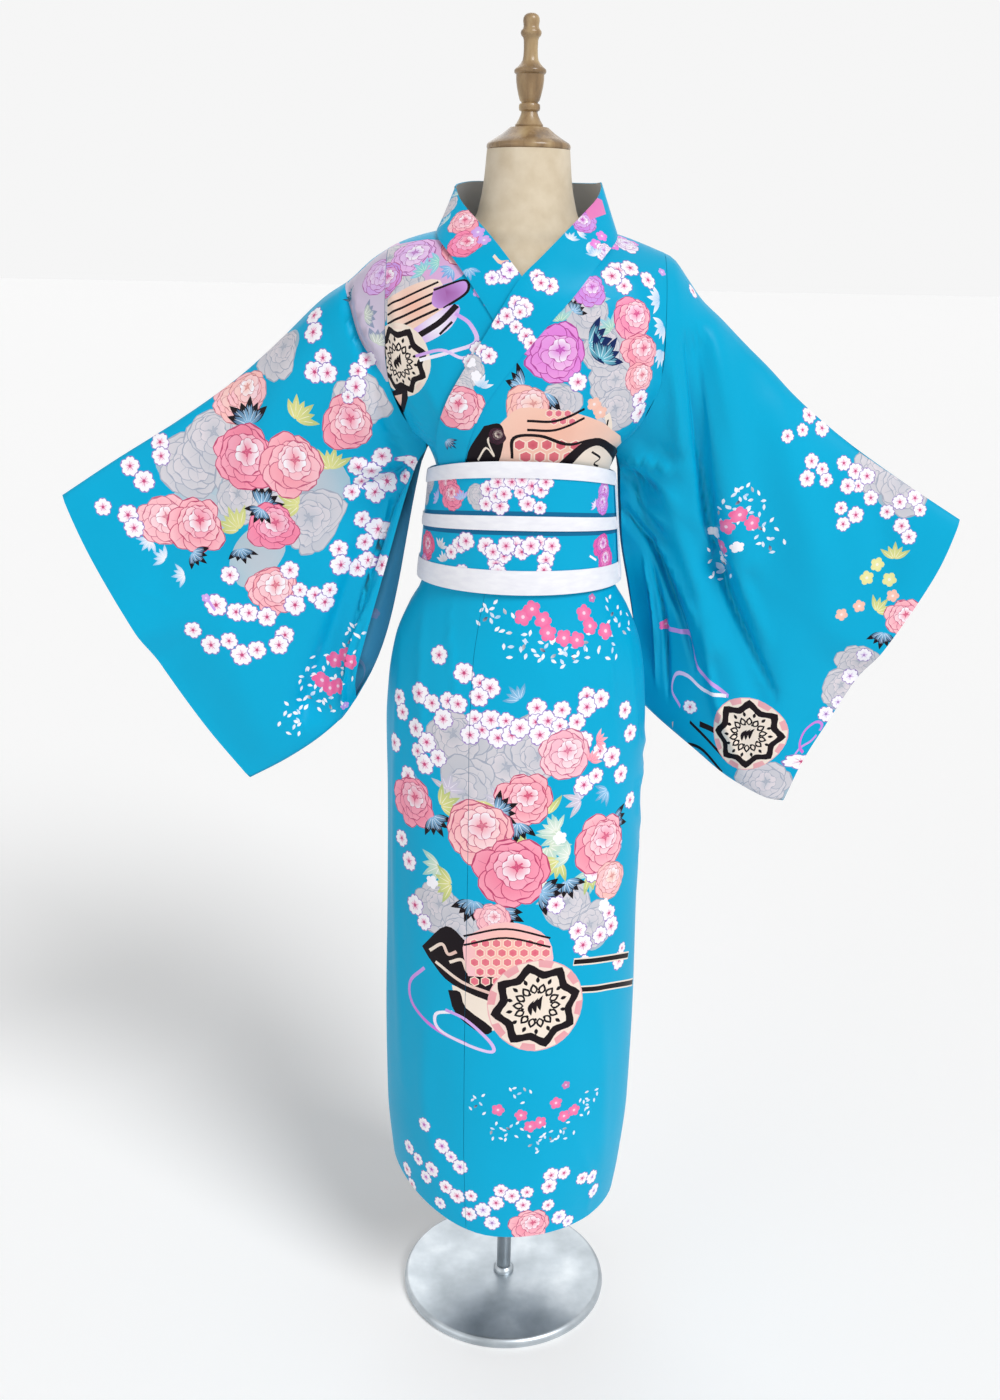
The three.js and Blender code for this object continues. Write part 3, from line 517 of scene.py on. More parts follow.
def leaf_shape(reach, width, start, angle, bend=0.0):
    t = np.linspace(0, 1, 7)
    side = width * np.sin(math.pi * t**0.85)
    middle = bend * np.sin(math.pi * t)
    along = start + (reach - start) * t
    upper = np.stack([along, middle + side], -1)
    lower = np.stack([along, middle - side], -1)[::-1][1:-1]
    c, s = math.cos(angle), math.sin(angle)
    return np.vstack([upper, lower]) @ np.array([[c, s], [-s, c]])


def leaves(pen, count, spread, inner, outer, edge=None):
    """A fan of leaves with ribs; with an edge colour each is outlined and tipped with it."""
    for k in range(count):
        turn = math.pi / 2 + math.radians(spread) * (k / max(count - 1, 1) - 0.5)
        reach = 1.0 - 0.16 * (k % 2)
        if edge is not None:
            pen.shape(leaf_shape(reach * 1.1, 0.18, 0.1, turn), edge)
        pen.shape(leaf_shape(reach, 0.145, 0.05, turn), inner, outer)
        if edge is not None:
            pen.shape(leaf_shape(reach * 1.02, 0.085, reach * 0.62, turn), edge)
        pen.shape(ray_strip(0.15, reach * 0.72, 0.02, turn, 0.4), mix(inner, WHITE, 0.6))


def small_flower(pen, colour, heart=WHITE):
    for k in range(5):
        turn = 2 * math.pi * k / 5
        petal = disc(0.42, 8, centre=(0.52 * math.cos(turn), 0.52 * math.sin(turn)))
        pen.shape(petal, mix(colour, heart, 0.25), colour)
    pen.shape(disc(0.2, 6), mix(colour, heart, 0.75))


def scallops(radius, lobes, depth, points_each=6):
    angle = np.arange(lobes * points_each) * 2 * math.pi / (lobes * points_each)
    reach = radius * (1 - depth * np.abs(np.sin(lobes * angle / 2)) ** 1.4)
    return np.stack([reach * np.cos(angle), reach * np.sin(angle)], -1)


def wheel(pen, rim=(232, 170, 176)):
    """A traditional court-cart wheel as a scalloped rosette of ink and cream."""
    pen.shape(disc(1.0, 32), CREAM, rim)
    pen.shape(scallops(0.97, 8, -0.02), rim, CREAM, radius=1.0)
    for k in range(8):
        turn = 2 * math.pi * (k + 0.5) / 8
        pen.shape(ray_strip(0.84, 0.99, 0.13, turn, 1.3), (226, 112, 128), rim)
    pen.shape(scallops(0.95, 8, 0.2), INK)
    pen.shape(scallops(0.74, 8, 0.2), CREAM)
    for k in range(14):
        turn = 2 * math.pi * k / 14
        pen.shape(leaf_shape(0.64, 0.04, 0.5, turn), INK)
        pen.shape(leaf_shape(0.5, 0.085, 0.27, turn + 0.2), INK)
        pen.shape(leaf_shape(0.44, 0.04, 0.31, turn + 0.2), CREAM)
    pen.shape(disc(0.26, 14), CREAM)
    for k in range(10):
        pen.shape(disc(0.035, 6, centre=(0.3 * math.cos(0.63 * k), 0.3 * math.sin(0.63 * k))), INK)
    for k in range(3):
        shift = (0.1 * (k - 1), 0.03 * (k - 1))
        pen.shape(leaf_shape(0.18, 0.05, -0.16, math.pi / 2.6, 0.05) + shift, INK)


def hexagons(print_, pixels, cell, line, face, tint):
    """Honeycomb cells inside a box of pixels: its left, top, right and bottom."""
    left, top, right, bottom = pixels
    rows = int((bottom - top) / (cell * 0.86)) + 1
    columns = int((right - left) / cell) + 1
    for i in range(rows):
        for j in range(columns):
            spot = (left + (j + 0.5 * (i % 2) + 0.5) * cell, top + (i * 0.86 + 0.5) * cell)
            pen = print_.stamp(spot, cell * 0.5, 30)
            if pen is not None:
                pen.shape(disc(0.98, 6), line)
                pen.shape(disc(0.78, 6), face, tint)


class Path:
    """A line of points that is followed by shares of its length."""

    def __init__(self, points, steps=12):
        self.points = spline(points, steps)
        lengths = np.linalg.norm(np.diff(self.points, axis=0), axis=1)
        self.share = np.concatenate([[0], np.cumsum(lengths)]) / lengths.sum()

    def __call__(self, share):
        share = np.clip(share, 0, 1)
        return np.stack([np.interp(share, self.share, column) for column in self.points.T], -1)


# Sleeves seen from the front, as in the solids: top fold, wrist edge, bottom fold and the inner
# edges that are open below the armhole
SLEEVES = {
    -1: {
        "top": [(-187, 1476), (-213, 1453), (-248, 1429), (-299, 1381), (-356, 1332), (-428, 1282),
                (-512, 1230), (-581, 1185)],
        "wrist": [(-581, 1185), (-544, 1102), (-487, 996), (-418, 887), (-357, 807)],
        "bottom": [(-212, 921), (-231, 894), (-264, 864), (-308, 834), (-357, 807)],
        "corner": 4.5,
        "folds": [
            ((-212, 1447), (-176, 1352), 12, 8), ((-152, 1215), (-268, 915), 26, 17),
            ((-150, 1160), (-206, 975), 13, -9), ((-190, 1310), (-330, 1150), 34, -8),
        ],
        "inner": {
            -1: [(-131, -17, 1235), (-146, -16, 1190), (-163, -16, 1130), (-180, -16, 1070),
                 (-197, -16, 1010), (-211, -12, 955)],
            1: [(-126, 20, 1235), (-136, 22, 1190), (-147, 24, 1130), (-158, 26, 1070),
                (-172, 26, 1010), (-190, 22, 960)],
        },
    },
    1: {
        "top": [(179, 1483), (197, 1460), (215, 1437), (241, 1414), (290, 1368), (342, 1320),
                (404, 1272), (477, 1224), (558, 1175)],
        "wrist": [(558, 1175), (537, 1118), (512, 1069), (480, 1015), (445, 960), (415, 904),
                  (386, 847), (364, 788)],
        "bottom": [(168, 908), (200, 880), (246, 846), (288, 816), (338, 792), (364, 788)],
        "corner": 62.0,
        "folds": [
            ((206, 1385), (256, 1110), 15, 11), ((256, 1110), (322, 940), 20, 9),
            ((228, 1400), (290, 1120), 20, -8), ((150, 1205), (212, 1065), 16, 12),
            ((182, 1190), (250, 1000), 18, -10),
        ],
        "inner": {
            -1: [(123, -6, 1235), (127, 10, 1190), (134, 28, 1130), (147, 42, 1070),
                 (157, 50, 1010), (163, 53, 955)],
            1: [(122, 28, 1235), (126, 40, 1190), (133, 54, 1130), (146, 66, 1070),
                (158, 74, 1010), (164, 75, 955)],
        },
    },
}
SLEEVE_RUN = 520.0
SLEEVE_DROP = 450.0
BAG_HALF = 18.0
SEWN_HALF = 2.1
ARMHOLE_FADE = 2.4
CORNER_FADE = 1.5
CUFF = (0.72, 0.44, 0.56)
FOLDS_START = 0.08
SHOULDER_X = 165.0


def in_plane(points):
    return [(x, 0.0, z) for x, z in points]


def sleeve_surface(mirror, side):
    """One side of a sleeve, from the armhole (p = 0) to the wrist and down from the top fold."""
    spec = SLEEVES[mirror]
    top_z = float(RIDGE(mirror * SHOULDER_X)) + WALL
    levels = top_z - (top_z - 1262) * np.linspace(0, 1, 14) ** 1.6
    x = ARMHOLE(levels) + 0.2
    y = side * depth_at(mirror * x, levels, WALL, side)
    armhole = [(mirror * a, b if i else 0.0, c) for i, (a, b, c) in enumerate(zip(x, y, levels))]
    corner = (*spec["bottom"][0], spec["corner"])
    inner_edge = armhole + spec["inner"][side] + [(corner[0], corner[2], corner[1])]
    inner = Path(inner_edge, 6)
    top = Path([(armhole[0][0], 0.0, armhole[0][2])] + in_plane(spec["top"]))
    wrist, bottom = Path(in_plane(spec["wrist"])), Path(in_plane(spec["bottom"]))
    flat = np.array([1.0, 0.0, 1.0])

    def place(p, q):
        u = np.clip(mirror * p / SLEEVE_RUN, -0.02, 1.02)
        v = np.clip(-q / SLEEVE_DROP, 0, 1)
        u_, v_ = u[:, None], v[:, None]
        inside = inner(v)
        spot = (
            top(u) * (1 - v_) + bottom(u) * v_ + inside * flat * (1 - u_) + wrist(v) * u_
            - top(0 * u) * (1 - u_) * (1 - v_) - top(0 * u + 1) * u_ * (1 - v_)
            - bottom(0 * u) * (1 - u_) * v_ - bottom(0 * u + 1) * u_ * v_
        )
        hold = np.clip(1 - u, 0, 1) ** ARMHOLE_FADE
        middle = spec["corner"] * v * np.clip(1 - u, 0, 1) ** CORNER_FADE
        sewn = smooth((u - CUFF[0]) / (1 - CUFF[0])) * smooth((v - CUFF[1]) / (CUFF[2] - CUFF[1]))
        half = BAG_HALF * np.sqrt(np.clip(4 * v * (1 - v), 0, 1))
        half = half * (1 - sewn) + np.minimum(SEWN_HALF, half) * sewn
        spot[:, 1] = hold * inside[:, 1] + (1 - hold) * (middle + side * half)
        push = np.zeros(len(p))
        for start, end, width, depth in spec["folds"]:
            line = np.array([start, end], float)
            gap = distance_to_path(spot[:, ::2], line)[0]
            push += depth * np.exp(-((gap / width) ** 2))
        spot[:, 1] += push * smooth(u / FOLDS_START)
        return spot

    return place


# Collar halves from the back of the neck down into the belt: x, y and z of the upper edge, x and z
# of the lower edge, and which side that lies on. Without a y the edge lies on the chest
COLLARS = {
    1: [
        (0.0, 80, 1571, 0.0, 1506, 1), (38, 73, 1571, 44, 1507, 1), (66, 51, 1570, 78, 1510, 1),
        (82, 24, 1569, 97, 1512, 1), (87, 4, 1569, 104, 1516, 0), (87, -14, 1563, 106, 1511, -1),
        (80, -33, 1549, 103, 1502, -1), (64, -55, 1532, 92, 1489, -1), (41, -79, 1509, 73, 1466, -1),
        (16, -101, 1484, 54, 1442, -1), (-8, None, 1460, 36, 1422, -1),
        (-30, None, 1425, 18, 1401, -1), (-52, None, 1388, -3, 1376, -1),
        (-74, None, 1352, -27, 1345, -1), (-90, None, 1322, -47, 1315, -1),
        (-101, None, 1290, -60, 1285, -1), (-104, None, 1262, -67, 1260, -1),
        (-100, None, 1236, -70, 1236, -1),
    ],
    -1: [
        (0.0, 80, 1571, 0.0, 1506, 1), (-38, 73, 1571, -44, 1507, 1), (-66, 51, 1570, -78, 1510, 1),
        (-82, 24, 1566, -97, 1512, 1), (-86, 4, 1562, -104, 1516, 0),
        (-83, -16, 1554, -106, 1511, -1), (-75, -35, 1541, -103, 1502, -1),
        (-59, -56, 1524, -92, 1489, -1), (-39, -79, 1503, -73, 1466, -1),
        (-18, -97, 1478, -54, 1440, -1), (0, None, 1455, -38, 1416, -1),
        (20, None, 1425, -22, 1388, -1), (38, None, 1393, -9, 1360, -1),
        (52, None, 1355, 2, 1328, -1), (62, None, 1315, 8, 1296, -1),
        (68, None, 1275, 10, 1264, -1), (70, None, 1236, 12, 1236, -1),
    ],
}
COLLAR_RUN = 600.0
COLLAR_BREADTH = 62.0
COLLAR_ROLL = 3.0


def collar_surface(half):
    """Half of the collar: p runs from the back seam to the belt, q from its lower to its upper edge."""
    chest = OVER_COLLAR if half > 0 else UNDER_COLLAR

    def layer(z):
        shoulder = smooth((z - 1440) / 50)
        return chest * (1 - shoulder) + (UNDER_COLLAR + 1.2) * shoulder + COLLAR_WALL

    def on_body(x, z, side):
        z = np.array([float(z)])
        return float(side * depth_at(np.array([float(x)]), z, layer(z), side or -1)[0])

    rows = COLLARS[half]
    upper = spline([(x, on_body(x, z, s) if y is None else y, z) for x, y, z, _, _, s in rows], 8)
    lower = spline([(x, on_body(x, z, s), z) for _, _, _, x, z, s in rows], 8)
    count = len(upper) - 1

    def along(line, share):
        at = np.clip(share, 0, 1) * count
        return np.stack([np.interp(at, np.arange(count + 1), c) for c in line.T], -1)

    def place(p, q):
        share = p / COLLAR_RUN
        breadth = np.clip(q / COLLAR_BREADTH, 0, 1)[:, None]
        spot = along(lower, share) * (1 - breadth) + along(upper, share) * breadth
        side = np.where(spot[:, 1] < 0, -1, 1)
        deep = np.where(
            side < 0,
            depth_at(spot[:, 0], spot[:, 2], layer(spot[:, 2]), -1),
            depth_at(spot[:, 0], spot[:, 2], layer(spot[:, 2]), 1),
        )
        crown = COLLAR_ROLL * (1 - (2 * breadth[:, 0] - 1) ** 4) - COLLAR_ROLL
        spot[:, 1] = side * (np.maximum(np.abs(spot[:, 1]), deep) + crown * 0.4)
        return spot

    return place


BELT_BOTTOM = 1095.0
BELT_HEIGHT = 130.0
BELT_FRONT_RISE = 27.0
BELT_ARC = 112.0
BELT_ROUNDING = 1.2
BAND_BOTTOM = (-0.012, 0.178)
RIBBON = (0.488, 0.6)
BAND_TOP = (0.888, 1.012)


def belt_surface(grow, shares=(0.0, 1.0), crown=0.0):
    """The belt: p runs round it from the middle of the front, q up it, and it is straight in height."""

    def place(p, q):
        angle = np.radians(270.0) + p / BELT_ARC
        share = shares[0] + (shares[1] - shares[0]) * q / (BELT_HEIGHT * (shares[1] - shares[0]))
        front = np.maximum(0, -np.sin(angle)) ** BELT_ROUNDING
        side = np.where(np.sin(angle) < 0, -1, 1)
        level = np.clip((share - shares[0]) / (shares[1] - shares[0]), 0, 1)
        swell = grow + crown * (1 - (2 * level - 1) ** 4)

        def edge(z):
            cosine = np.cos(angle)
            x = np.sign(cosine) * (HALF(z) + swell) * np.abs(cosine) ** (2 / POWER(z))
            across = np.minimum(np.abs(x) / (HALF(z) + swell), 1)
            reach = np.where(side < 0, REACH[-1](z), REACH[1](z)) + swell
            y = side * reach * (1 - across ** POWER(z)) ** (1 / POWER(z))
            return np.stack([x, y, z], -1)

        foot = edge(np.full(len(p), BELT_BOTTOM))
        top = edge(BELT_BOTTOM + BELT_HEIGHT + BELT_FRONT_RISE * front)
        return foot * (1 - share[:, None]) + top * share[:, None]

    return place


def inside(points, outline):
    """Which points lie within a closed outline."""
    x, y = points[:, 0], points[:, 1]
    odd = np.zeros(len(points), bool)
    for (ax, ay), (bx, by) in zip(outline, np.roll(outline, -1, axis=0)):
        crosses = (ay > y) != (by > y)
        height = by - ay if abs(by - ay) > 1e-12 else 1e-12
        odd ^= crosses & (x < (bx - ax) * (y - ay) / height + ax)
    return odd


def evenly(outline, spacing):
    """A closed outline with its sides cut into even steps."""
    points = []
    for a, b in zip(outline, np.roll(outline, -1, axis=0)):
        count = max(1, int(np.linalg.norm(b - a) / spacing))
        points += [a + (b - a) * k / count for k in range(count)]
    return np.array(points)


class Shell:
    """Gathers thin closed sheets, with their print, into one object."""

    def __init__(self):
        self.points, self.faces, self.normals, self.colours = [], [], [], []
        self.count = 0

    def sheet(self, surface, outline, print_, cell, thickness, side, base=SATIN, reverse=REVERSE):
        """Cuts the outline and the print's shapes into triangles on the surface, outer and inner."""
        outline = evenly(np.array(outline, float), cell)
        low, high = outline.min(0), outline.max(0)
        grid = [np.arange(low[k] + cell / 2, high[k], cell) for k in (0, 1)]
        spots = np.stack(np.meshgrid(*grid), -1).reshape(-1, 2)
        spots[:, 0] += (np.round((spots[:, 1] - low[1]) / cell) % 2) * cell * 0.5 - cell * 0.25
        spots = spots[inside(spots, outline)]
        closed = np.vstack([outline, outline[:1]])
        spots = spots[distance_to_path(spots, closed)[0] > cell * 0.35]
        turn = np.roll(outline, -1, axis=0)
        area = (outline[:, 0] * turn[:, 1] - turn[:, 0] * outline[:, 1]).sum()
        outline = outline if area > 0 else outline[::-1]
        rings = [outline] + [shape[0] for shape in print_.shapes]
        starts = np.cumsum([0] + [len(ring) for ring in rings])
        faces = [list(range(a, b)) for a, b in zip(starts, starts[1:])]
        corners = [Vector(c) for c in np.vstack(rings + [spots]).tolist()]
        cut = delaunay_2d_cdt(corners, [], faces, 0, 1e-4, True)
        flat = np.array([tuple(v) for v in cut[0]])
        kept = [(f, max(ids)) for f, ids in zip(cut[2], cut[5]) if 0 in ids and len(f) == 3]
        triangles = np.array([f for f, _ in kept])
        top = np.array([t for _, t in kept])
        used, inverse = np.unique(triangles, return_inverse=True)
        triangles = inverse.reshape(triangles.shape)
        flat = flat[used]
        colours = self.paint(print_, flat[triangles], top, linear(base))
        outer = surface(flat[:, 0], flat[:, 1])
        normals = normals_of(surface, flat[:, 0], flat[:, 1]) * side
        if side < 0:
            triangles, colours = triangles[:, ::-1], colours[:, ::-1]
        self.close(outer, normals, triangles, colours, thickness, linear(reverse))

    def paint(self, print_, corners, top, base):
        """Corner colours: the base, or the topmost shape's own shading."""
        colours = np.broadcast_to(base, (*corners.shape[:2], 3)).copy()
        if not print_.shapes:
            return colours
        shapes = print_.shapes
        k = np.maximum(top - 1, 0)
        centre = np.array([s[1] for s in shapes])[k][:, None]
        radius = np.array([s[2] for s in shapes])[k][:, None]
        power = np.array([s[3] for s in shapes])[k][:, None]
        inner = np.array([s[4] for s in shapes])[k][:, None]
        outer = np.array([s[5] for s in shapes])[k][:, None]
        share = np.clip(np.linalg.norm(corners - centre, axis=2) / radius, 0, 1) ** power
        shaded = inner * (1 - share[..., None]) + outer * share[..., None]
        return np.where((top > 0)[:, None, None], shaded, colours)

    def close(self, outer, normals, triangles, colours, thickness, reverse):
        inner = outer - normals * thickness
        count = len(outer)
        edges = triangles[:, [0, 1, 1, 2, 2, 0]].reshape(-1, 2)
        keys = np.sort(edges, axis=1)
        _, first, uses = np.unique(keys, axis=0, return_index=True, return_counts=True)
        rim = edges[first[uses == 1]]
        a, b = rim[:, 0], rim[:, 1]
        sides = np.concatenate([
            np.stack([b, a, a + count], -1), np.stack([b, a + count, b + count], -1),
        ])
        places = np.concatenate([outer, inner])
        side_normals = np.cross(
            places[sides[:, 1]] - places[sides[:, 0]], places[sides[:, 2]] - places[sides[:, 0]]
        )
        side_normals /= np.linalg.norm(side_normals, axis=1)[:, None] + 1e-12
        faint = reverse * 0.86 + colours[:, ::-1] * 0.14
        rim_colour = np.broadcast_to(linear(SATIN) * 0.8, (len(sides), 3, 3))
        self.points.append(places)
        self.faces.append(
            np.concatenate([triangles, triangles[:, ::-1] + count, sides]) + self.count
        )
        self.normals.append(np.concatenate([
            normals[triangles], -normals[triangles[:, ::-1]],
            np.repeat(side_normals[:, None], 3, axis=1),
        ]))
        self.colours.append(np.concatenate([colours, faint, rim_colour]))
        self.count += len(places)

    def make(self, name, material):
        """The object, with the print as corner colours and the surface's own normals."""
        points = np.concatenate(self.points) * MM
        faces = np.concatenate(self.faces)
        mesh = bpy.data.meshes.new(name)
        mesh.vertices.add(len(points))
        mesh.vertices.foreach_set("co", points.ravel())
        mesh.loops.add(faces.size)
        mesh.loops.foreach_set("vertex_index", faces.ravel())
        mesh.polygons.add(len(faces))
        mesh.polygons.foreach_set("loop_start", np.arange(len(faces)) * 3)
        mesh.update(calc_edges=True)
        mesh.polygons.foreach_set("use_smooth", np.ones(len(faces), bool))
        colours = np.concatenate(self.colours).reshape(-1, 3)
        layer = mesh.color_attributes.new("print", "FLOAT_COLOR", "CORNER")
        layer.data.foreach_set("color", np.c_[colours, np.ones(len(colours))].ravel())
        mesh.normals_split_custom_set(np.concatenate(self.normals).reshape(-1, 3).tolist())
        mesh.materials.append(material)
        piece = bpy.data.objects.new(name, mesh)
        bpy.context.collection.objects.link(piece)
        return piece


def turned(name, profile, base, material, segments=96):
    """A turned piece on the pole's axis, from radii and heights, with smooth sides."""
    count = len(profile)
    angle = np.arange(segments) * 2 * math.pi / segments
    rings = [(r * np.cos(angle), r * np.sin(angle), 0 * angle + z + base) for r, z in profile]
    points = np.concatenate([np.stack(ring, -1) for ring in rings]) * MM
    faces = []
    for i in range(count - 1):
        for j in range(segments):
            k = (j + 1) % segments
            a, b = i * segments, (i + 1) * segments
            faces.append((a + j, a + k, b + k, b + j))
    faces.append(tuple(range(segments))[::-1])
    faces.append(tuple(range((count - 1) * segments, count * segments)))
    mesh = bpy.data.meshes.new(name)
    mesh.from_pydata(points.tolist(), [], faces)
    mesh.polygons.foreach_set("use_smooth", np.ones(len(faces), bool))
    mesh.set_sharp_from_angle(angle=math.radians(38))
    mesh.materials.append(material)
    piece = bpy.data.objects.new(name, mesh)
    bpy.context.collection.objects.link(piece)
    return piece


PINK = (240, 120, 150)
PALE_PINK = (250, 196, 204)
PEACH = (246, 190, 170)
PURPLE = (214, 110, 214)
LILAC = (206, 160, 232)
GREY = (186, 190, 200)
PALE_GREY = (214, 210, 216)
YELLOW = (230, 226, 150)
SKY = (150, 200, 236)
NAVY = (20, 40, 90)


def at(text):
    """Places in the picture from a line of x,y pairs."""
    return [tuple(float(v) for v in item.split(",")) for item in text.split()]


def blossoms(print_, text, size=10.4, tint=ROSE):
    for k, spot in enumerate(at(text)):
        pen = print_.stamp(spot, size * (1 + 0.12 * math.sin(2.3 * k)), 37.0 * k)
        if pen is not None:
            blossom(pen, tint)


def peonies(print_, text, size, deep=PINK, light=PALE_PINK, heart=WHITE, line=None):
    for k, spot in enumerate(at(text)):
        pen = print_.stamp(spot, size * 1.12, 53.0 * k + 11)
        if pen is not None:
            peony(pen, deep, light, heart, line)


def washes(print_, text, size, colour, edge=None):
    for spot in at(text):
        pen = print_.stamp(spot, size, 0)
        if pen is not None:
            wash(pen, colour, edge or mix(colour, SATIN, 0.12))


def grey_flowers(print_, text, size):
    """Pale silhouettes of peonies with thin sketched lines, on a pale patch."""
    washes(print_, text, size * 0.95, GREY)
    peonies(print_, text, size, GREY, PALE_GREY, (222, 214, 220), (164, 170, 186))


def fans(print_, text, size, angle, inner, outer, edge=None, count=5, spread=110):
    for k, spot in enumerate(at(text)):
        pen = print_.stamp(spot, size, angle + 40 * k)
        if pen is not None:
            leaves(pen, count, spread, inner, outer, edge)


def small_flowers(print_, text, size, colour):
    for k, spot in enumerate(at(text)):
        pen = print_.stamp(spot, size, 31.0 * k)
        if pen is not None:
            small_flower(pen, colour)


def sprig(print_, flowers, sprays, size=7.5):
    """A cluster of small pink flowers among sprays of tiny pale leaves."""
    for k, spot in enumerate(at(sprays)):
        pen = print_.stamp(spot, size * 2.0, 70.0 * k)
        if pen is None:
            continue
        for j in range(7):
            shift = (0.6 * math.cos(2.2 * j + k), 0.3 * (j - 3))
            leaf = leaf_shape(0.46, 0.11, 0.0, 0.8 + 1.5 * (j % 2)) + shift
            pen.shape(leaf, NAVY if j % 4 == 2 else SKY, WHITE)
    small_flowers(print_, flowers, size * 1.3, (240, 104, 160))


def cart(print_, wheel_at, radius, box, body, scroll):
    """A flower cart: hexagon-patterned basket, ink body with a cream scroll, and its wheel."""
    print_.area(body, INK, INK, 4)
    for path in scroll:
        print_.stroke(path, 3.2, CREAM, (228, 190, 180))
    if box:
        left, top, right, bottom = box
        ring = [(left, bottom), (left - 3, top + 12), ((left + right) / 2, top - 6),
                (right + 4, top + 10), (right, bottom)]
        print_.area(ring, PEACH, PALE_PINK, 4)
        hexagons(print_, (left + 1, top + 10, right - 4, bottom), 11.0, (250, 226, 206),
                 (222, 92, 120), (234, 136, 146))
        for drop in (0, 9):
            rim = [(left - 4, top + 8 + drop), ((left + right) / 2, top + 1 + drop),
                   (right + 6, top + 10 + drop)]
            print_.stroke(rim, 2.2, INK)
    pen = print_.stamp(wheel_at, radius, 12)
    if pen is not None:
        wheel(pen)


def draw_skirt(print_):
    grey_flowers(print_, "484,763 455,742 515,770 470,790 540,748", 32)
    grey_flowers(print_, "436,908 569,907 595,925 462,930", 24)
    fans(print_, "560,836 440,866 596,870 548,846", 26, 100, (222, 230, 206), (150, 204, 200),
         None, 6, 160)
    fans(print_, "448,790 500,802 582,800 556,896", 22, -10, (214, 204, 224), GREY, None, 5, 150)
    fans(print_, "520,700 420,790 608,790", 18, 40, SKY, (90, 160, 200))
    fans(print_, "440,806 462,856 548,815 524,852 452,884 560,860 480,800 590,872", 25, -60,
         YELLOW, (170, 190, 120))
    fans(print_, "556,832 570,856 548,884", 20, 30, (236, 240, 226), (170, 210, 200))
    blossoms(print_, "439,655 464,673 480,683 490,688 479,697 400,697 420,693 432,703 448,701")
    blossoms(print_, "458,704 443,719 403,712 427,742 416,728 418,751 425,764 438,758 475,719")
    blossoms(print_, "482,730 491,720 506,721 498,738 537,708 536,722 548,721 562,710 587,696")
    blossoms(print_, "601,699 587,707 560,726 567,738 584,741 600,751 612,757 625,710 630,733")
    blossoms(print_, "621,774 584,785 596,776 512,735 409,861 402,838 594,872 609,866 616,845")
    blossoms(print_, "396,742 408,776 552,740 520,728 470,735 630,800 540,735 577,722")
    peonies(print_, "564,756", 25, (244, 150, 176), (250, 214, 220))
    fans(print_, "596,742 590,762", 15, -80, PINK, PALE_PINK)
    peonies(print_, "412,801", 25, PINK, (250, 170, 190))
    peonies(print_, "524,801", 26, (238, 108, 136), PALE_PINK)
    fans(print_, "518,822 432,816 612,822 496,812", 22, 175, SKY, NAVY, INK)
    peonies(print_, "477,832", 32, (240, 140, 158), (252, 206, 206))
    peonies(print_, "602,843", 28, PINK, PALE_PINK)
    peonies(print_, "512,874", 34, (238, 104, 140), (248, 168, 188))
    fans(print_, "485,905 566,880", 21, 160, SKY, NAVY, INK)
    fans(print_, "474,900 500,910 540,892", 25, 170, SKY, NAVY, INK, 6)
    peonies(print_, "610,880", 19, PEACH, PALE_PINK)
    peonies(print_, "492,920", 16, (248, 170, 180), PALE_PINK)
    blossoms(print_, "578,931 583,945 609,913 611,926 619,960 424,922 415,905 556,905 600,935")
    small_flowers(print_, "432,882 560,838 604,905", 8, WHITE)
    blossoms(print_, "584,960 622,948", 6)
    for drop in (0, 28):
        print_.stroke([(575, 962 + drop), (604, 959 + drop), (640, 953 + drop)], 8, CREAM)
        print_.stroke([(575, 962 + drop), (604, 959 + drop), (640, 953 + drop)], 5, INK)
    print_.area(at("452,985 494,1000 504,1026 480,1030 458,1012"), CREAM, CREAM, 3)
    print_.area(at("448,990 456,1014 482,1034 492,1028 466,1008 460,992"), INK, INK, 3)
    cart(
        print_, (537, 1006), 50, (468, 928, 544, 976),
        at("422,946 446,926 468,944 500,978 496,1002 452,984 432,962"),
        [at("430,950 442,944 448,954 456,952"), at("450,962 462,960 468,972 480,974"),
         at("436,962 462,982 492,994")],
    )
    print_.stroke(at("424,968 410,982 414,1006 438,1030 466,1044"), 3.4, LILAC, PURPLE)
    print_.stroke(at("452,1012 436,1014 440,1030 470,1046 492,1052 490,1042 466,1020 446,1010"),
                  3.2, WHITE, LILAC)
    sprig(
        print_, "523,617 532,609 543,620 548,633 564,638 584,613 605,631 590,626 577,640",
        "486,617 500,618 516,642 530,646 545,652 560,655 573,654 588,648 608,645 623,624 612,612",
    )
    sprig(
        print_, "498,1110 521,1115 530,1126 556,1103 564,1116 574,1110 540,1122",
        "476,1105 521,1094 591,1096 496,1132 510,1130 535,1144 550,1136 566,1132 583,1106", 5.6,
    )
    small_flowers(print_, "592,598 566,1085", 5, (200, 110, 170))
    blossoms(print_, "425,1124 442,1146 451,1157 460,1167 409,1147 418,1159 432,1169 426,1177",
             8, PURPLE)
    blossoms(print_, "446,1187 457,1196 471,1196 469,1214 407,1169 412,1184 551,1175 564,1173", 8)
    blossoms(print_, "501,1191 512,1196 527,1192 496,1203 523,1205 548,1205 549,1186 582,1178", 8)
    blossoms(print_, "591,1176 559,1217 568,1221 492,1223 593,1190 440,1203 483,1210", 8, LILAC)
    peonies(print_, "530,1226", 18, PINK, PALE_PINK)


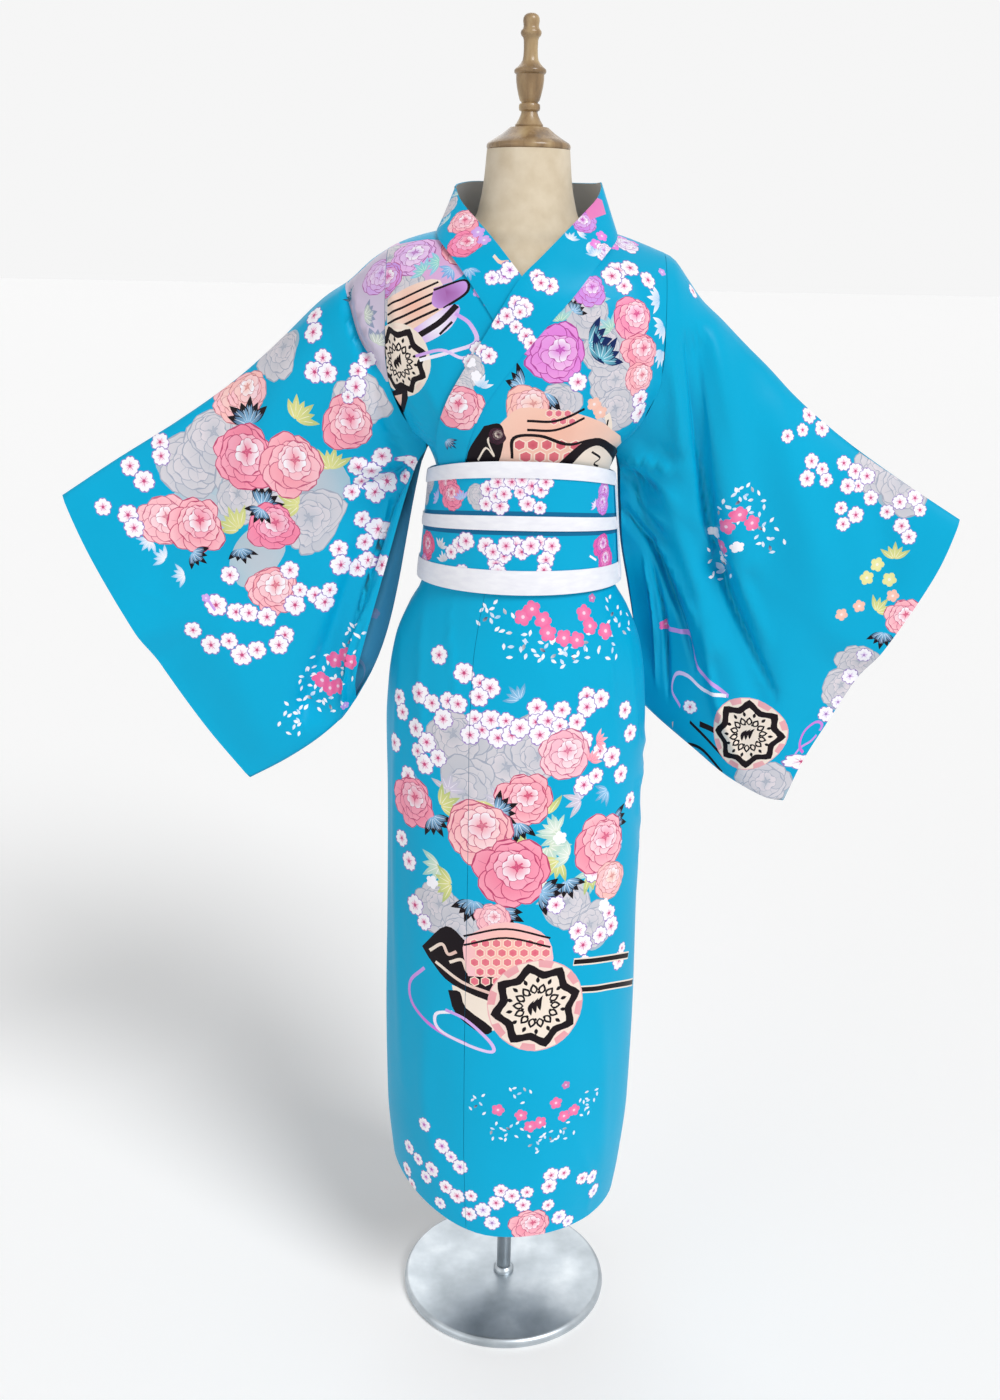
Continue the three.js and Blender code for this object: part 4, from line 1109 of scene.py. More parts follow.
def draw_right_sleeve(print_):
    print_.area(at("345,288 352,272 372,256 395,248 395,378 381,374 366,352 356,329 349,305"),
                (206, 192, 216), GREY, 3)
    peonies(print_, "378,276", 19, LILAC, (226, 196, 230))
    fans(print_, "366,316 378,344", 16, -70, (196, 206, 190), GREY, (140, 150, 176))
    fans(print_, "352,296", 12, 60, (110, 170, 190), NAVY)
    washes(print_, "262,560 310,480 206,508 230,470", 30, (190, 200, 210))
    grey_flowers(print_, "190,465 215,440 318,520 250,480", 32)
    grey_flowers(print_, "280,352 240,500 360,400", 24)
    peonies(print_, "232,400 248,392", 21, PEACH, PALE_PINK)
    fans(print_, "249,425", 27, 10, SKY, NAVY, INK, 6, 120)
    fans(print_, "296,420 330,470 240,530 300,505", 26, -40, YELLOW, (190, 200, 130), None, 6)
    fans(print_, "326,436 262,506 284,545", 22, -70, SKY, NAVY, INK)
    fans(print_, "165,560 185,575 150,540", 15, 60, WHITE, SKY)
    peonies(print_, "347,424", 25, PINK, PALE_PINK)
    peonies(print_, "244,458", 31, PINK, (250, 170, 190))
    peonies(print_, "291,466", 29, (244, 140, 160), PALE_PINK)
    peonies(print_, "162,522", 24, (246, 170, 180), PALE_PINK)
    peonies(print_, "196,526", 26, (240, 110, 140), PALE_PINK)
    peonies(print_, "272,527", 23, PINK, (248, 150, 180))
    peonies(print_, "272,590", 24, (246, 150, 160), PALE_PINK)
    fans(print_, "262,508 240,548 192,552", 17, 150, SKY, NAVY, INK)
    blossoms(print_, "315,316 315,333 324,358 316,372 328,373 358,371 356,387 160,442 161,456")
    blossoms(print_, "130,466 144,481 103,507 128,515 134,528 193,630 216,605 236,612 249,613")
    blossoms(print_, "267,617 295,605 315,595 325,602 211,645 229,641 242,655 257,650 285,635")
    blossoms(print_, "279,645 358,466 362,482 375,492 388,482 362,519 378,529 365,542 339,549")
    blossoms(print_, "358,568 382,565 368,560 382,456 371,470 352,492 341,565 230,575 290,570")
    blossoms(print_, "300,590 330,590 348,397 366,360 404,476 412,462", 8)
    sprig(
        print_, "345,655 335,660 352,662 322,681 330,688 338,686",
        "350,640 366,634 320,664 306,680 312,700 296,714 330,704 345,674 290,722", 7.0,
    )
    print_.stroke(at("215,610 208,600"), 3, LILAC)
    small_flowers(print_, "206,598 345,705", 5, LILAC)


def draw_left_sleeve(print_):
    grey_flowers(print_, "880,468 905,488", 26)
    grey_flowers(print_, "856,664 842,690", 20)
    blossoms(print_, "693,291 809,415 802,430 822,428 811,461 822,469 806,478 826,480", 8)
    blossoms(print_, "844,463 856,471 859,486 848,486 872,498 841,508 856,515 843,524", 8)
    blossoms(print_, "900,502 915,498 920,510 902,526 909,537 786,436 868,476 888,512", 8)
    small_flowers(print_, "878,565 867,578 890,580", 8, YELLOW)
    small_flowers(print_, "893,596 859,606 841,614", 7, PEACH)
    fans(print_, "876,612 895,560", 18, -40, YELLOW, (190, 200, 130))
    peonies(print_, "903,618", 17, PINK, PALE_PINK)
    fans(print_, "884,632", 17, 170, SKY, NAVY, INK)
    blossoms(print_, "864,655 850,676 838,702 826,714", 8, LILAC)
    sprig(
        print_, "730,524 752,523 724,545 740,514",
        "739,500 748,496 756,508 728,510 762,530 716,560 770,545 722,570", 7.0,
    )
    small_flowers(print_, "715,534 739,545 722,561", 6.5, WHITE)
    print_.area(at("672,722 694,716 718,736 730,790 700,772 676,748"), CREAM, PEACH, 4)
    print_.stroke(at("676,742 700,748 722,772"), 3, INK)
    print_.stroke(at("690,722 706,738 726,760"), 3, INK)
    print_.stroke(at("700,724 716,732 730,748"), 5, INK)
    print_.stroke(at("682,754 704,764 726,786"), 2.4, LILAC)
    grey_flowers(print_, "762,786 742,788", 24)
    pen = print_.stamp((748, 735), 38, 0)
    if pen is not None:
        wheel(pen)
    print_.stroke(at("665,628 685,634 692,650 698,668 712,682 728,696"), 3.6, LILAC, LILAC)
    print_.stroke(at("726,696 704,690 688,676 676,674 672,690 680,706"), 3.2, WHITE, LILAC)
    print_.stroke(at("790,762 800,748 812,740 822,726 816,722 804,732 800,748 812,760"), 3.2,
                  LILAC, PURPLE)
    small_flowers(print_, "664,626", 6, (240, 110, 180))
    blossoms(print_, "805,762 690,707", 7)


def draw_over(print_):
    """The wearer's left front above the belt, which lies over the right."""
    grey_flowers(print_, "612,384 604,352 620,410", 22)
    grey_flowers(print_, "588,312 560,405", 20)
    fans(print_, "594,300 560,322 612,330", 18, -30, (170, 214, 180), SKY)
    fans(print_, "660,300 664,325 662,350", 18, 80, SKY, WHITE)
    fans(print_, "588,345 600,360", 24, -80, (120, 200, 220), NAVY, NAVY)
    fans(print_, "524,388", 25, 75, SKY, NAVY, INK)
    fans(print_, "545,392", 25, 170, SKY, NAVY, INK)
    peonies(print_, "556,356", 27, PURPLE, (238, 160, 224))
    fans(print_, "573,312", 14, -40, SKY, INK, INK)
    peonies(print_, "590,290", 15, PURPLE, LILAC)
    peonies(print_, "634,318", 19, (238, 100, 160), PALE_PINK)
    peonies(print_, "641,352", 19, PINK, PALE_PINK)
    peonies(print_, "640,378", 15, (244, 150, 160), PALE_PINK)
    peonies(print_, "530,408", 21, PEACH, PALE_PINK)
    small_flowers(print_, "594,404 600,412", 8, PEACH)
    blossoms(print_, "640,399 639,412 640,433 618,270 630,268 624,286 612,276 648,280 578,382")
    small_flowers(print_, "614,246 633,243 622,238", 7, (236, 130, 220))
    peonies(print_, "626,244", 13, LILAC, WHITE)
    small_flowers(print_, "655,250 662,272", 5, LILAC)
    print_.stroke(at("607,415 607,440"), 6, CREAM)
    print_.stroke(at("608,420 606,432 608,444"), 2, INK)
    print_.area(at("500,424 520,408 552,410 580,414 612,430 622,470 480,470 486,440"),
                PEACH, CREAM, 3)
    hexagons(print_, (512, 438, 578, 476), 14, (250, 226, 210), (206, 84, 104),
             (226, 120, 130))
    hexagons(print_, (545, 409, 566, 424), 9, (250, 226, 210), (222, 104, 130),
             (232, 140, 150))
    for rise in (0, 9):
        print_.stroke(at(f"528,{430 - rise} 556,{430 - rise} 584,{418 - rise}"), 2.6, INK)
    print_.stroke(at("512,458 514,438 540,436 566,444 590,440"), 3, INK)
    print_.area(at("560,462 580,444 600,438 618,452 622,474 552,474"), INK, INK, 4)
    print_.area(at("570,466 586,450 600,446 612,458 614,472 566,472"), CREAM, CREAM, 4)
    print_.stroke(at("592,452 600,458 594,464 604,468"), 2, INK)
    print_.area(at("484,426 500,424 504,440 494,470 470,470 468,452"), INK, INK, 4)
    print_.stroke(at("478,460 486,448 494,456 488,440 498,436"), 2, CREAM)
    peonies(print_, "497,436", 8, (70, 50, 60), (40, 26, 36), CREAM)


def draw_under(print_):
    """The wearer's right front above the belt."""
    print_.area(at("384,252 400,244 440,240 470,262 452,282 410,292 388,304"),
                (222, 170, 214), (206, 190, 226), 3)
    grey_flowers(print_, "384,262 372,300 400,290", 24)
    peonies(print_, "410,256", 23, LILAC, (236, 190, 236))
    peonies(print_, "385,280", 18, (236, 140, 200), LILAC)
    peonies(print_, "462,246", 20, PINK, PALE_PINK)
    fans(print_, "425,272 440,262", 18, 60, (150, 220, 200), SKY)
    fans(print_, "452,268", 15, 140, SKY, (120, 160, 220))
    print_.area(at("388,300 410,286 440,280 446,312 424,330 390,330"), PEACH, CREAM, 3)
    for k in range(4):
        print_.stroke([(388, 306 + 9 * k), (412, 294 + 9 * k), (438, 282 + 9 * k)], 2.2, INK)
    print_.area(at("434,288 464,280 466,292 444,308 432,304"), (150, 80, 150), LILAC, 3)
    print_.stroke(at("434,290 464,280 467,292 444,308"), 2.2, INK)
    print_.area(at("412,330 448,306 460,308 452,326 436,338 418,344"), WHITE, LILAC, 3)
    print_.stroke(at("418,336 440,322 456,306"), 5, INK)
    print_.stroke(at("440,334 452,322"), 2, INK)
    pen = print_.stamp((399, 362), 34, 20)
    if pen is not None:
        wheel(pen, CREAM)
    print_.area(at("386,396 408,386 404,412 390,418"), INK, INK, 2)
    print_.area(at("389,400 402,394 398,410"), PEACH, CREAM, 2)
    print_.stroke(at("420,360 450,352 476,342 470,324 456,314"), 3.4, WHITE, LILAC)
    print_.stroke(at("416,356 442,350 462,358 478,352"), 3.0, LILAC, WHITE)
    blossoms(print_, "478,350 486,360 470,362 492,300 500,312", 9)
    small_flowers(print_, "478,292", 6, LILAC)


def draw_back(print_):
    """The upper back, which the photograph doesn't show: more of the same motifs."""
    grey_flowers(print_, "462,316 574,330 520,292", 26)
    fans(print_, "440,340 600,352 500,352", 22, 30, SKY, LILAC)
    peonies(print_, "486,322", 26, PINK, PALE_PINK)
    peonies(print_, "534,344", 30, (238, 104, 140), (248, 168, 188))
    peonies(print_, "452,356", 20, PURPLE, LILAC)
    fans(print_, "508,374 566,372", 20, 170, SKY, NAVY, INK)
    blossoms(print_, "430,300 444,288 462,282 482,284 500,276 548,296 566,304 584,306 600,318")
    blossoms(print_, "578,334 592,344 606,340 470,392 486,402 500,410 520,404 538,412 556,404")
    blossoms(print_, "424,384 436,396 604,388 590,402 446,412 576,420")


def draw_over_collar(print_):
    fans(print_, "570,240 578,234 586,246", 11, 30, WHITE, SKY)
    peonies(print_, "585,222", 13, PURPLE, LILAC)
    small_flowers(print_, "596,244 602,236", 7, (236, 130, 220))
    peonies(print_, "606,252", 10, LILAC, WHITE)
    print_.area(at("588,206 602,200 606,214 590,220"), (226, 120, 190), (236, 150, 190), 1)
    print_.area(at("592,196 600,192 602,200 594,202"), (60, 140, 200), SATIN, 1)
    blossoms(print_, "604,262 596,270 537,276 550,286 541,283 516,303 524,308", 9)
    blossoms(print_, "498,322 507,316 516,327 526,336 531,343 482,351 489,356 520,312", 8)
    fans(print_, "597,256 590,284", 12, -20, WHITE, SKY)
    peonies(print_, "584,300", 15, PURPLE, LILAC)
    fans(print_, "572,312 562,326", 12, -60, SKY, NAVY, INK)
    grey_flowers(print_, "470,372 460,392", 14)
    fans(print_, "480,388 492,396", 14, 20, SKY, WHITE)
    peonies(print_, "462,408", 22, PINK, PALE_PINK)
    fans(print_, "488,420 446,440", 14, 100, SKY, NAVY)
    small_flowers(print_, "470,362 476,376", 6, WHITE)


def draw_under_collar(print_):
    grey_flowers(print_, "448,208", 12)
    fans(print_, "456,196 446,222", 12, 20, (190, 224, 200), SKY)
    peonies(print_, "462,222", 15, PINK, PALE_PINK)
    peonies(print_, "464,244", 17, PINK, (248, 150, 190))
    small_flowers(print_, "484,240 478,232", 8, LILAC)
    fans(print_, "452,264 468,268", 14, 160, SKY, (120, 170, 220))
    print_.stroke(at("494,256 500,262 508,262"), 4, CREAM, PEACH)
    blossoms(print_, "504,276 510,270 492,278", 9, PURPLE)


def draw_belt(print_):
    across = np.linspace(-155, 155, 63)
    for low, high in BELT_SHADES:
        edges = [(p, low) for p in across] + [(p, high) for p in across[::-1]]
        print_.shape(edges, (16, 104, 148))
    grey_flowers(print_, "427,490 430,478", 14)
    peonies(print_, "447,484 452,496", 13, PINK, (248, 150, 180))
    fans(print_, "462,500 438,500", 12, 20, SKY, LILAC)
    grey_flowers(print_, "478,496", 12)
    blossoms(print_, "488,489 498,482 486,504 500,506 512,482 520,492 532,486 541,490 528,504", 9)
    blossoms(print_, "496,496 546,482 540,508 504,494 522,480", 8)
    fans(print_, "596,506", 8, 60, WHITE, LILAC)
    peonies(print_, "604,492 603,504", 10, PURPLE, LILAC)
    peonies(print_, "427,546", 14, (238, 90, 140), PINK)
    peonies(print_, "424,562", 9, PINK, LILAC)
    fans(print_, "440,548 444,562", 12, -20, GREY, WHITE)
    blossoms(print_, "459,545 466,541 451,552 486,546 496,564 504,556 516,546 522,552 498,572", 9)
    blossoms(print_, "493,552 506,546 540,543 552,546 546,560 544,570 531,546 462,572", 9)
    peonies(print_, "602,546 606,560", 12, PURPLE, (236, 90, 160))
    print_.stroke(at("590,556 596,560"), 2, WHITE)


# The dark lines beside the ribbon, by their heights on the belt's cloth
BELT_SHADES = [(58.5, 63.4), (78.0, 82.5)]

# Body panels as outlines of places on the cloth: how far round, then how far up
HEM = 197.0
OKUMI_SEAM = 110.0
OVER_EDGE = 170.0
UNDER_EDGE = 160.0
CENTRE_BACK = 90.0
OKUMI_TOP = 1215.0
NECK_POINT_X = 100.0
OVER_FRONT_EDGE = [(-72, 1262), (-52, 1324), (-2, 1391), (29, 1425), (84, 1493), (98, 1512)]
UNDER_FRONT_EDGE = [(-18, 1262), (-16, 1296), (-10, 1328), (1, 1360), (14, 1388), (47, 1440),
                    (88, 1493), (100, 1512)]
BACK_EDGE = [(0.4, 1410), (0.4, 1448), (0.4, 1507), (52, 1509), (100, 1512)]


def over_hem(angle):
    return HEM + 45 * smooth((angle - 95) / 75)


def under_hem(angle):
    return HEM + 5 + 38 * smooth((85 - angle) / 85)


def back_left_hem(angle):
    return HEM + 0 * angle


def back_right_hem(angle):
    return HEM + 43 * smooth((90 - angle) / 90)


def hem_line(hem, start, end):
    angles = np.linspace(start, end, 24)
    return list(zip(arc_at(angles), hem(angles)))


def armhole_line(side):
    """Down from the shoulder line round the armhole to the side seam."""
    shoulder = float(RIDGE(SHOULDER_X))
    heights = np.concatenate([np.linspace(shoulder, 1375, 12), np.linspace(1365, 1262, 12)])
    x = ARMHOLE(heights) - SEAM_GAP
    levels = level_of(x, heights, side)
    levels[0] += WALL
    return list(zip(arc_of(x, levels), levels)) + [(float(arc_at(SEAM_DEGREES)), 1225.0)]


def shoulder_line(side):
    """Along the shoulder line from the neckline to the armhole."""
    x = np.linspace(NECK_POINT_X, SHOULDER_X - SEAM_GAP, 10)
    levels = level_of(x, RIDGE(x), side) + WALL
    return list(zip(arc_of(x, levels), levels))


def neck_line(edge, side):
    x, z = spline(edge, 4).T
    levels = level_of(x, z, side)
    return list(zip(arc_of(x, levels), levels))


def body_outline(hem, seam, edge, side):
    """A front or back from its hem up the inner edge, along the shoulder and down the armhole."""
    foot = hem_line(hem, SEAM_DEGREES, seam - SEAM_DEGREES)
    seam_top = [(foot[-1][0], OKUMI_TOP)]
    return foot + seam_top + neck_line(edge, side) + shoulder_line(side) + armhole_line(side)


def okumi_outline(hem, edge):
    foot = hem_line(hem, OKUMI_SEAM + SEAM_DEGREES, edge)
    return foot + [(foot[-1][0], OKUMI_TOP), (foot[0][0], OKUMI_TOP)]


def mirrored(outline):
    return [(-arc, level) for arc, level in outline]


def satin():
    """Printed satin: the print's colours with a fine weave, slight puckers and a soft sheen."""
    material = bpy.data.materials.new("printed_satin")
    material.use_nodes = True
    nodes, links = material.node_tree.nodes, material.node_tree.links
    shader = nodes["Principled BSDF"]
    drawn = nodes.new("ShaderNodeAttribute")
    drawn.attribute_name = "print"
    place = nodes.new("ShaderNodeTexCoord")
    stretch = nodes.new("ShaderNodeMapping")
    stretch.inputs["Scale"].default_value = (1.0, 1.0, 0.22)
    links.new(place.outputs["Object"], stretch.inputs["Vector"])
    tone = noise(nodes, links, place.outputs["Object"], 7.0, 3.0)
    shift = nodes.new("ShaderNodeMapRange")
    shift.inputs["To Min"].default_value = 0.93
    shift.inputs["To Max"].default_value = 1.06
    links.new(tone, shift.inputs["Value"])
    shade = nodes.new("ShaderNodeVectorMath")
    shade.operation = "SCALE"
    links.new(drawn.outputs["Color"], shade.inputs[0])
    links.new(shift.outputs["Result"], shade.inputs["Scale"])
    links.new(shade.outputs["Vector"], shader.inputs["Base Color"])
    weave = noise(nodes, links, stretch.outputs["Vector"], 1900.0, 2.0)
    pucker = noise(nodes, links, place.outputs["Object"], 34.0, 3.0)
    fine = bump(nodes, links, weave, 0.25, 0.00012)
    broad = bump(nodes, links, pucker, 0.22, 0.0012, fine)
    links.new(broad, shader.inputs["Normal"])
    gloss = nodes.new("ShaderNodeMapRange")
    gloss.inputs["To Min"].default_value = 0.36
    gloss.inputs["To Max"].default_value = 0.50
    links.new(weave, gloss.inputs["Value"])
    links.new(gloss.outputs["Result"], shader.inputs["Roughness"])
    shader.inputs["Specular IOR Level"].default_value = 0.12
    shader.inputs["Sheen Weight"].default_value = 0.02
    shader.inputs["Sheen Roughness"].default_value = 0.4
    return material


def noise(nodes, links, vector, scale, detail):
    texture = nodes.new("ShaderNodeTexNoise")
    texture.inputs["Scale"].default_value = scale
    texture.inputs["Detail"].default_value = detail
    links.new(vector, texture.inputs["Vector"])
    return texture.outputs["Fac"]


def bump(nodes, links, height, strength, distance, over=None):
    node = nodes.new("ShaderNodeBump")
    node.inputs["Strength"].default_value = strength
    node.inputs["Distance"].default_value = distance
    links.new(height, node.inputs["Height"])
    if over is not None:
        links.new(over, node.inputs["Normal"])
    return node.outputs["Normal"]


def ramp(nodes, links, value, stops):
    node = nodes.new("ShaderNodeValToRGB")
    band = node.color_ramp
    while len(band.elements) < len(stops):
        band.elements.new(0.5)
    for element, (place, colour) in zip(band.elements, stops):
        element.position = place
        element.color = (*linear(colour), 1.0)
    links.new(value, node.inputs["Fac"])
    return node.outputs["Color"]


def plain(name, stops, scale, squeeze, roughness, weave, depth, metallic=0.0, sheen=0.0):
    """A material whose colour and relief both come from noise, squeezed along its grain."""
    material = bpy.data.materials.new(name)
    material.use_nodes = True
    nodes, links = material.node_tree.nodes, material.node_tree.links
    shader = nodes["Principled BSDF"]
    place = nodes.new("ShaderNodeTexCoord")
    grain = nodes.new("ShaderNodeMapping")
    grain.inputs["Scale"].default_value = squeeze
    links.new(place.outputs["Object"], grain.inputs["Vector"])
    tone = noise(nodes, links, grain.outputs["Vector"], scale, 4.0)
    links.new(ramp(nodes, links, tone, stops), shader.inputs["Base Color"])
    relief = noise(nodes, links, grain.outputs["Vector"], weave, 2.0)
    links.new(bump(nodes, links, relief, 0.3, depth), shader.inputs["Normal"])
    wear = nodes.new("ShaderNodeMapRange")
    wear.inputs["To Min"].default_value = roughness[0]
    wear.inputs["To Max"].default_value = roughness[1]
    links.new(tone, wear.inputs["Value"])
    links.new(wear.outputs["Result"], shader.inputs["Roughness"])
    shader.inputs["Metallic"].default_value = metallic
    shader.inputs["Sheen Weight"].default_value = sheen
    return material


def nothing(surface, bounds):
    return Print(surface, bounds, samples=2)


def drawn(surface, bounds, draw, behind=False):
    print_ = Print(surface, bounds, behind)
    draw(print_)
    return print_


def bounds_of(outline):
    outline = np.array(outline)
    return (*outline.min(0), *outline.max(0))


# Creases as paths in the picture, with their widths and heights: a ridge stands out, a dip goes in
OVER_CREASES = [
    ("652,405 645,436 628,462", 7, -2.4), ("640,400 632,432 618,460", 8, 2.6),
    ("662,430 648,448 634,462", 5, 2.2), ("600,300 606,360 596,430", 13, 1.8),
    ("566,372 574,420 572,464", 9, 1.6), ("630,270 650,330 654,400", 14, 1.8),
    ("402,620 396,760 396,900 402,1080", 12, 3.0), ("424,604 420,680 424,780", 9, 2.2),
    ("452,602 450,640 456,700", 6, 1.8), ("604,600 610,660 618,760", 8, 2.2),
    ("628,620 637,740 638,880", 10, 3.0), ("470,610 520,640 560,700", 16, 1.4),
    ("590,960 602,1060 600,1180", 15, 2.8), ("430,1000 424,1100 440,1190", 14, 2.2),
    ("520,1090 540,1150 536,1215", 18, 1.6), ("575,1140 590,1180 586,1215", 9, 2.4),
]
UNDER_CREASES = [
    ("396,396 404,424 418,448 428,466", 6, -5.0), ("384,398 394,430 410,462", 7, 4.0),
    ("408,392 418,420 432,446", 6, 3.4), ("424,380 440,412 452,446", 9, 2.4),
    ("392,280 396,330 394,372", 8, 2.6), ("450,330 440,380 444,420", 12, 1.6),
    ("416,448 426,462 436,470", 4, -3.0),
]
BACK_CREASES = [
    ("470,330 476,400 470,460", 14, 2.6), ("560,330 554,400 562,460", 14, 2.6),
    ("420,620 410,760 414,940", 14, 3.9), ("610,620 618,760 612,940", 14, 3.9),
    ("470,600 464,680 470,760", 9, 2.9), ("570,600 576,690 568,780", 9, 2.9),
    ("450,1020 440,1120 448,1210", 16, 3.4), ("580,1020 590,1120 582,1210", 16, 3.4),
    ("400,400 430,430 460,462", 8, 3.1), ("640,400 606,430 576,462", 8, 3.1),
]
RIGHT_SLEEVE_CREASES = [
    ("346,288 356,329 381,374", 4.5, -6.0), ("354,286 366,329 390,368", 7, 5.2),
    ("411,470 394,500 380,545 366,590", 6, -6.8), ("418,478 404,520 390,570 370,640", 8, -9.0),
    ("404,470 380,482 352,488", 5, -5.2), ("406,462 380,466 350,466", 6, 3.9),
    ("330,330 280,400 236,500", 34, 6.0), ("370,600 352,650 340,712", 10, 6.0),
    ("356,560 330,640 300,720", 22, -5.2), ("240,420 180,500 150,600", 30, -4.5),
    ("390,500 374,560 356,620", 5, 4.5), ("372,380 384,420 404,458", 8, -4.5),
]
LEFT_SLEEVE_CREASES = [
    ("687,349 700,450 720,567 748,640 774,694", 7, -9.0),
    ("700,352 716,450 738,567 766,640", 13, 7.5), ("660,300 676,400 684,480", 12, 5.2),
    ("620,511 654,543 681,618 694,664", 7, -9.8), ("634,508 668,556 694,618", 9, 6.8),
    ("616,470 640,480 660,496", 4.5, -6.8), ("620,462 648,463 672,472", 5, 5.2),
    ("624,488 650,506 672,536", 5, 5.2), ("640,440 660,452 690,460", 7, -3.9),
    ("770,380 800,500 836,640", 34, 5.2), ("850,430 880,520 890,600", 26, -3.8),
    ("704,640 716,700 744,770", 12, 4.5), ("652,560 664,620 668,690", 7, -6.8),
    ("644,560 654,620 656,680", 6, 5.2),
]


SLEEVE_FOLD_DEPTH = 1.3


def panel(name, side, outline, draws, layer, creases=(), cell=9.0):
    """A body panel in one sheet, with its creases and print."""
    surface = body_surface(side, layer)
    print_ = Print(surface, bounds_of(outline), side > 0)
    for draw in draws:
        draw(print_)
    if creases:
        whole = (-243.0, HEM, 243.0, 1560.0)
        surface = folded(surface, pressed(surface, whole, creases, side > 0), -side)
    shell = Shell()
    shell.sheet(surface, outline, print_, cell, WALL, -side)
    return shell.make(name, SATIN_CLOTH)


def pressed(surface, bounds, creases, behind=False):
    """Creases as paths on the cloth from paths in the picture."""
    finder = Print(surface, bounds, behind)
    found = []
    for path, width, height in creases:
        spots, miss = finder.locate(spline(at(path), 6))
        spots = spots[miss < 3]
        if len(spots) > 2:
            found.append((spots, width, height))
    return found


SATIN_CLOTH = satin()
WHITE_TRIM = plain(
    "white_trim", [(0.3, (232, 232, 240)), (0.7, (242, 242, 247))], 60.0, (1, 1, 3),
    (0.5, 0.62), 1500.0, 0.0002, sheen=0.15,
)
JERSEY = plain(
    "form_jersey", [(0.3, (205, 188, 160)), (0.7, (222, 208, 184))], 40.0, (1, 1, 1),
    (0.8, 0.9), 1300.0, 0.0003, sheen=0.3,
)
WOOD = plain(
    "turned_wood", [(0.25, (98, 76, 52)), (0.5, (150, 122, 86)), (0.75, (190, 166, 124))], 14.0,
    (4, 4, 1), (0.2, 0.36), 90.0, 0.0003,
)
# The chrome's darker, mottled greys are a painted reflection: they stand in for the dark, uneven
# reflections of the room and the skirt in the disc, flange and pole
CHROME = plain(
    "chrome", [(0.25, (150, 158, 164)), (0.55, (186, 194, 200)), (0.8, (222, 228, 232))], 16.0,
    (1, 1, 1), (0.24, 0.42), 60.0, 0.0001, metallic=0.75,
)


def sleeve(name, mirror, draws, creases=()):
    """A sleeve's front and back, folded together at its top and bottom."""
    shell = Shell()
    width = mirror * SLEEVE_RUN
    for side in (-1, 1):
        surface = sleeve_surface(mirror, side)
        outline = [(0, 0), (width, 0), (width, -SLEEVE_DROP), (0, -SLEEVE_DROP)]
        bounds = bounds_of(outline)
        print_ = drawn(surface, bounds, draws[side], side > 0)
        if creases and side < 0:
            folds = pressed(surface, bounds, creases)
            deep = [(path, width, height * SLEEVE_FOLD_DEPTH) for path, width, height in folds]
            surface = folded(surface, deep, 1)
        shell.sheet(surface, outline, print_, 9.0, WALL, -side)
    return shell.make(name, SATIN_CLOTH)


def collar(name, half, draw):
    surface = collar_surface(half)
    outline = [(0.4, 0), (COLLAR_RUN, 0), (COLLAR_RUN, COLLAR_BREADTH), (0.4, COLLAR_BREADTH)]
    print_ = drawn(surface, (150.0, 0.0, COLLAR_RUN, COLLAR_BREADTH), draw)
    shell = Shell()
    shell.sheet(surface, outline, print_, 6.0, COLLAR_WALL, -half, reverse=COLLAR_REVERSE)
    return shell.make(name, SATIN_CLOTH)


def belt_strip(name, grow, shares, wall, material, draw=None, ends=None, crown=0.0):
    """A strip round the belt, or a short part of it between two ends."""
    surface = belt_surface(grow + wall, shares, crown)
    low, high = ends or (-math.pi * BELT_ARC + 0.3, math.pi * BELT_ARC - 0.3)
    height = BELT_HEIGHT * (shares[1] - shares[0])
    outline = [(low, 0), (high, 0), (high, height), (low, height)]
    bounds = (-160.0, 0.0, 160.0, height)
    print_ = drawn(surface, bounds, draw) if draw else nothing(surface, bounds)
    shell = Shell()
    shell.sheet(surface, outline, print_, 6.0, wall, 1)
    return shell.make(name, material)


# The form: height, half width, how square its section is and how far inside the cloth it stays
FORM = [
    (840, 150, 2.0, 4), (900, 160, 2.0, 4), (960, 160, 2.0, 3), (1010, 154, 2.0, 2),
    (1055, 138, 2.0, 1.2), (1096, 116.6, 2.0, 0.8), (1165, 107.6, 2.0, 0.8),
    (1225, 103.6, 2.1, 1.4), (1262, 109, 2.3, 3), (1280, 122, 2.35, 1.8), (1300, 132, 2.4, 1.8),
    (1322, 140, 2.4, 1.8), (1347, 146, 2.5, 1.8), (1400, 152, 2.8, 4), (1450, 155, 3.0, 6),
    (1476, 148, 2.8, 9), (1494, 122, 2.4, 11),
]
NECK = [(1510, 82, 64, 60), (1526, 63, 60, 60), (1547, 56, 56, 56), (1570, 52, 52, 52),
        (1603, 49, 49, 49)]
FORM_COLUMNS = 96


def form_ring(z, half, power, clear):
    angle = np.arange(FORM_COLUMNS) * 2 * math.pi / FORM_COLUMNS
    side = np.where(np.sin(angle) < 0, -1, 1)
    x = np.sign(np.cos(angle)) * half * np.abs(np.cos(angle)) ** (2 / power)
    level = np.full(FORM_COLUMNS, float(z))
    reach = np.where(
        side < 0, depth_at(0 * x, level, -clear, -1), depth_at(0 * x, level, -clear, 1)
    )
    limit = np.where(side < 0, depth_at(x, level, -clear, -1), depth_at(x, level, -clear, 1))
    y = side * np.minimum(reach * np.abs(np.sin(angle)) ** (2 / power), limit)
    return np.stack([x, y, level], -1)


def neck_ring(z, half, front, back):
    angle = np.arange(FORM_COLUMNS) * 2 * math.pi / FORM_COLUMNS
    reach = np.where(np.sin(angle) < 0, front, back)
    return np.stack([half * np.cos(angle), reach * np.sin(angle), 0 * angle + z], -1)


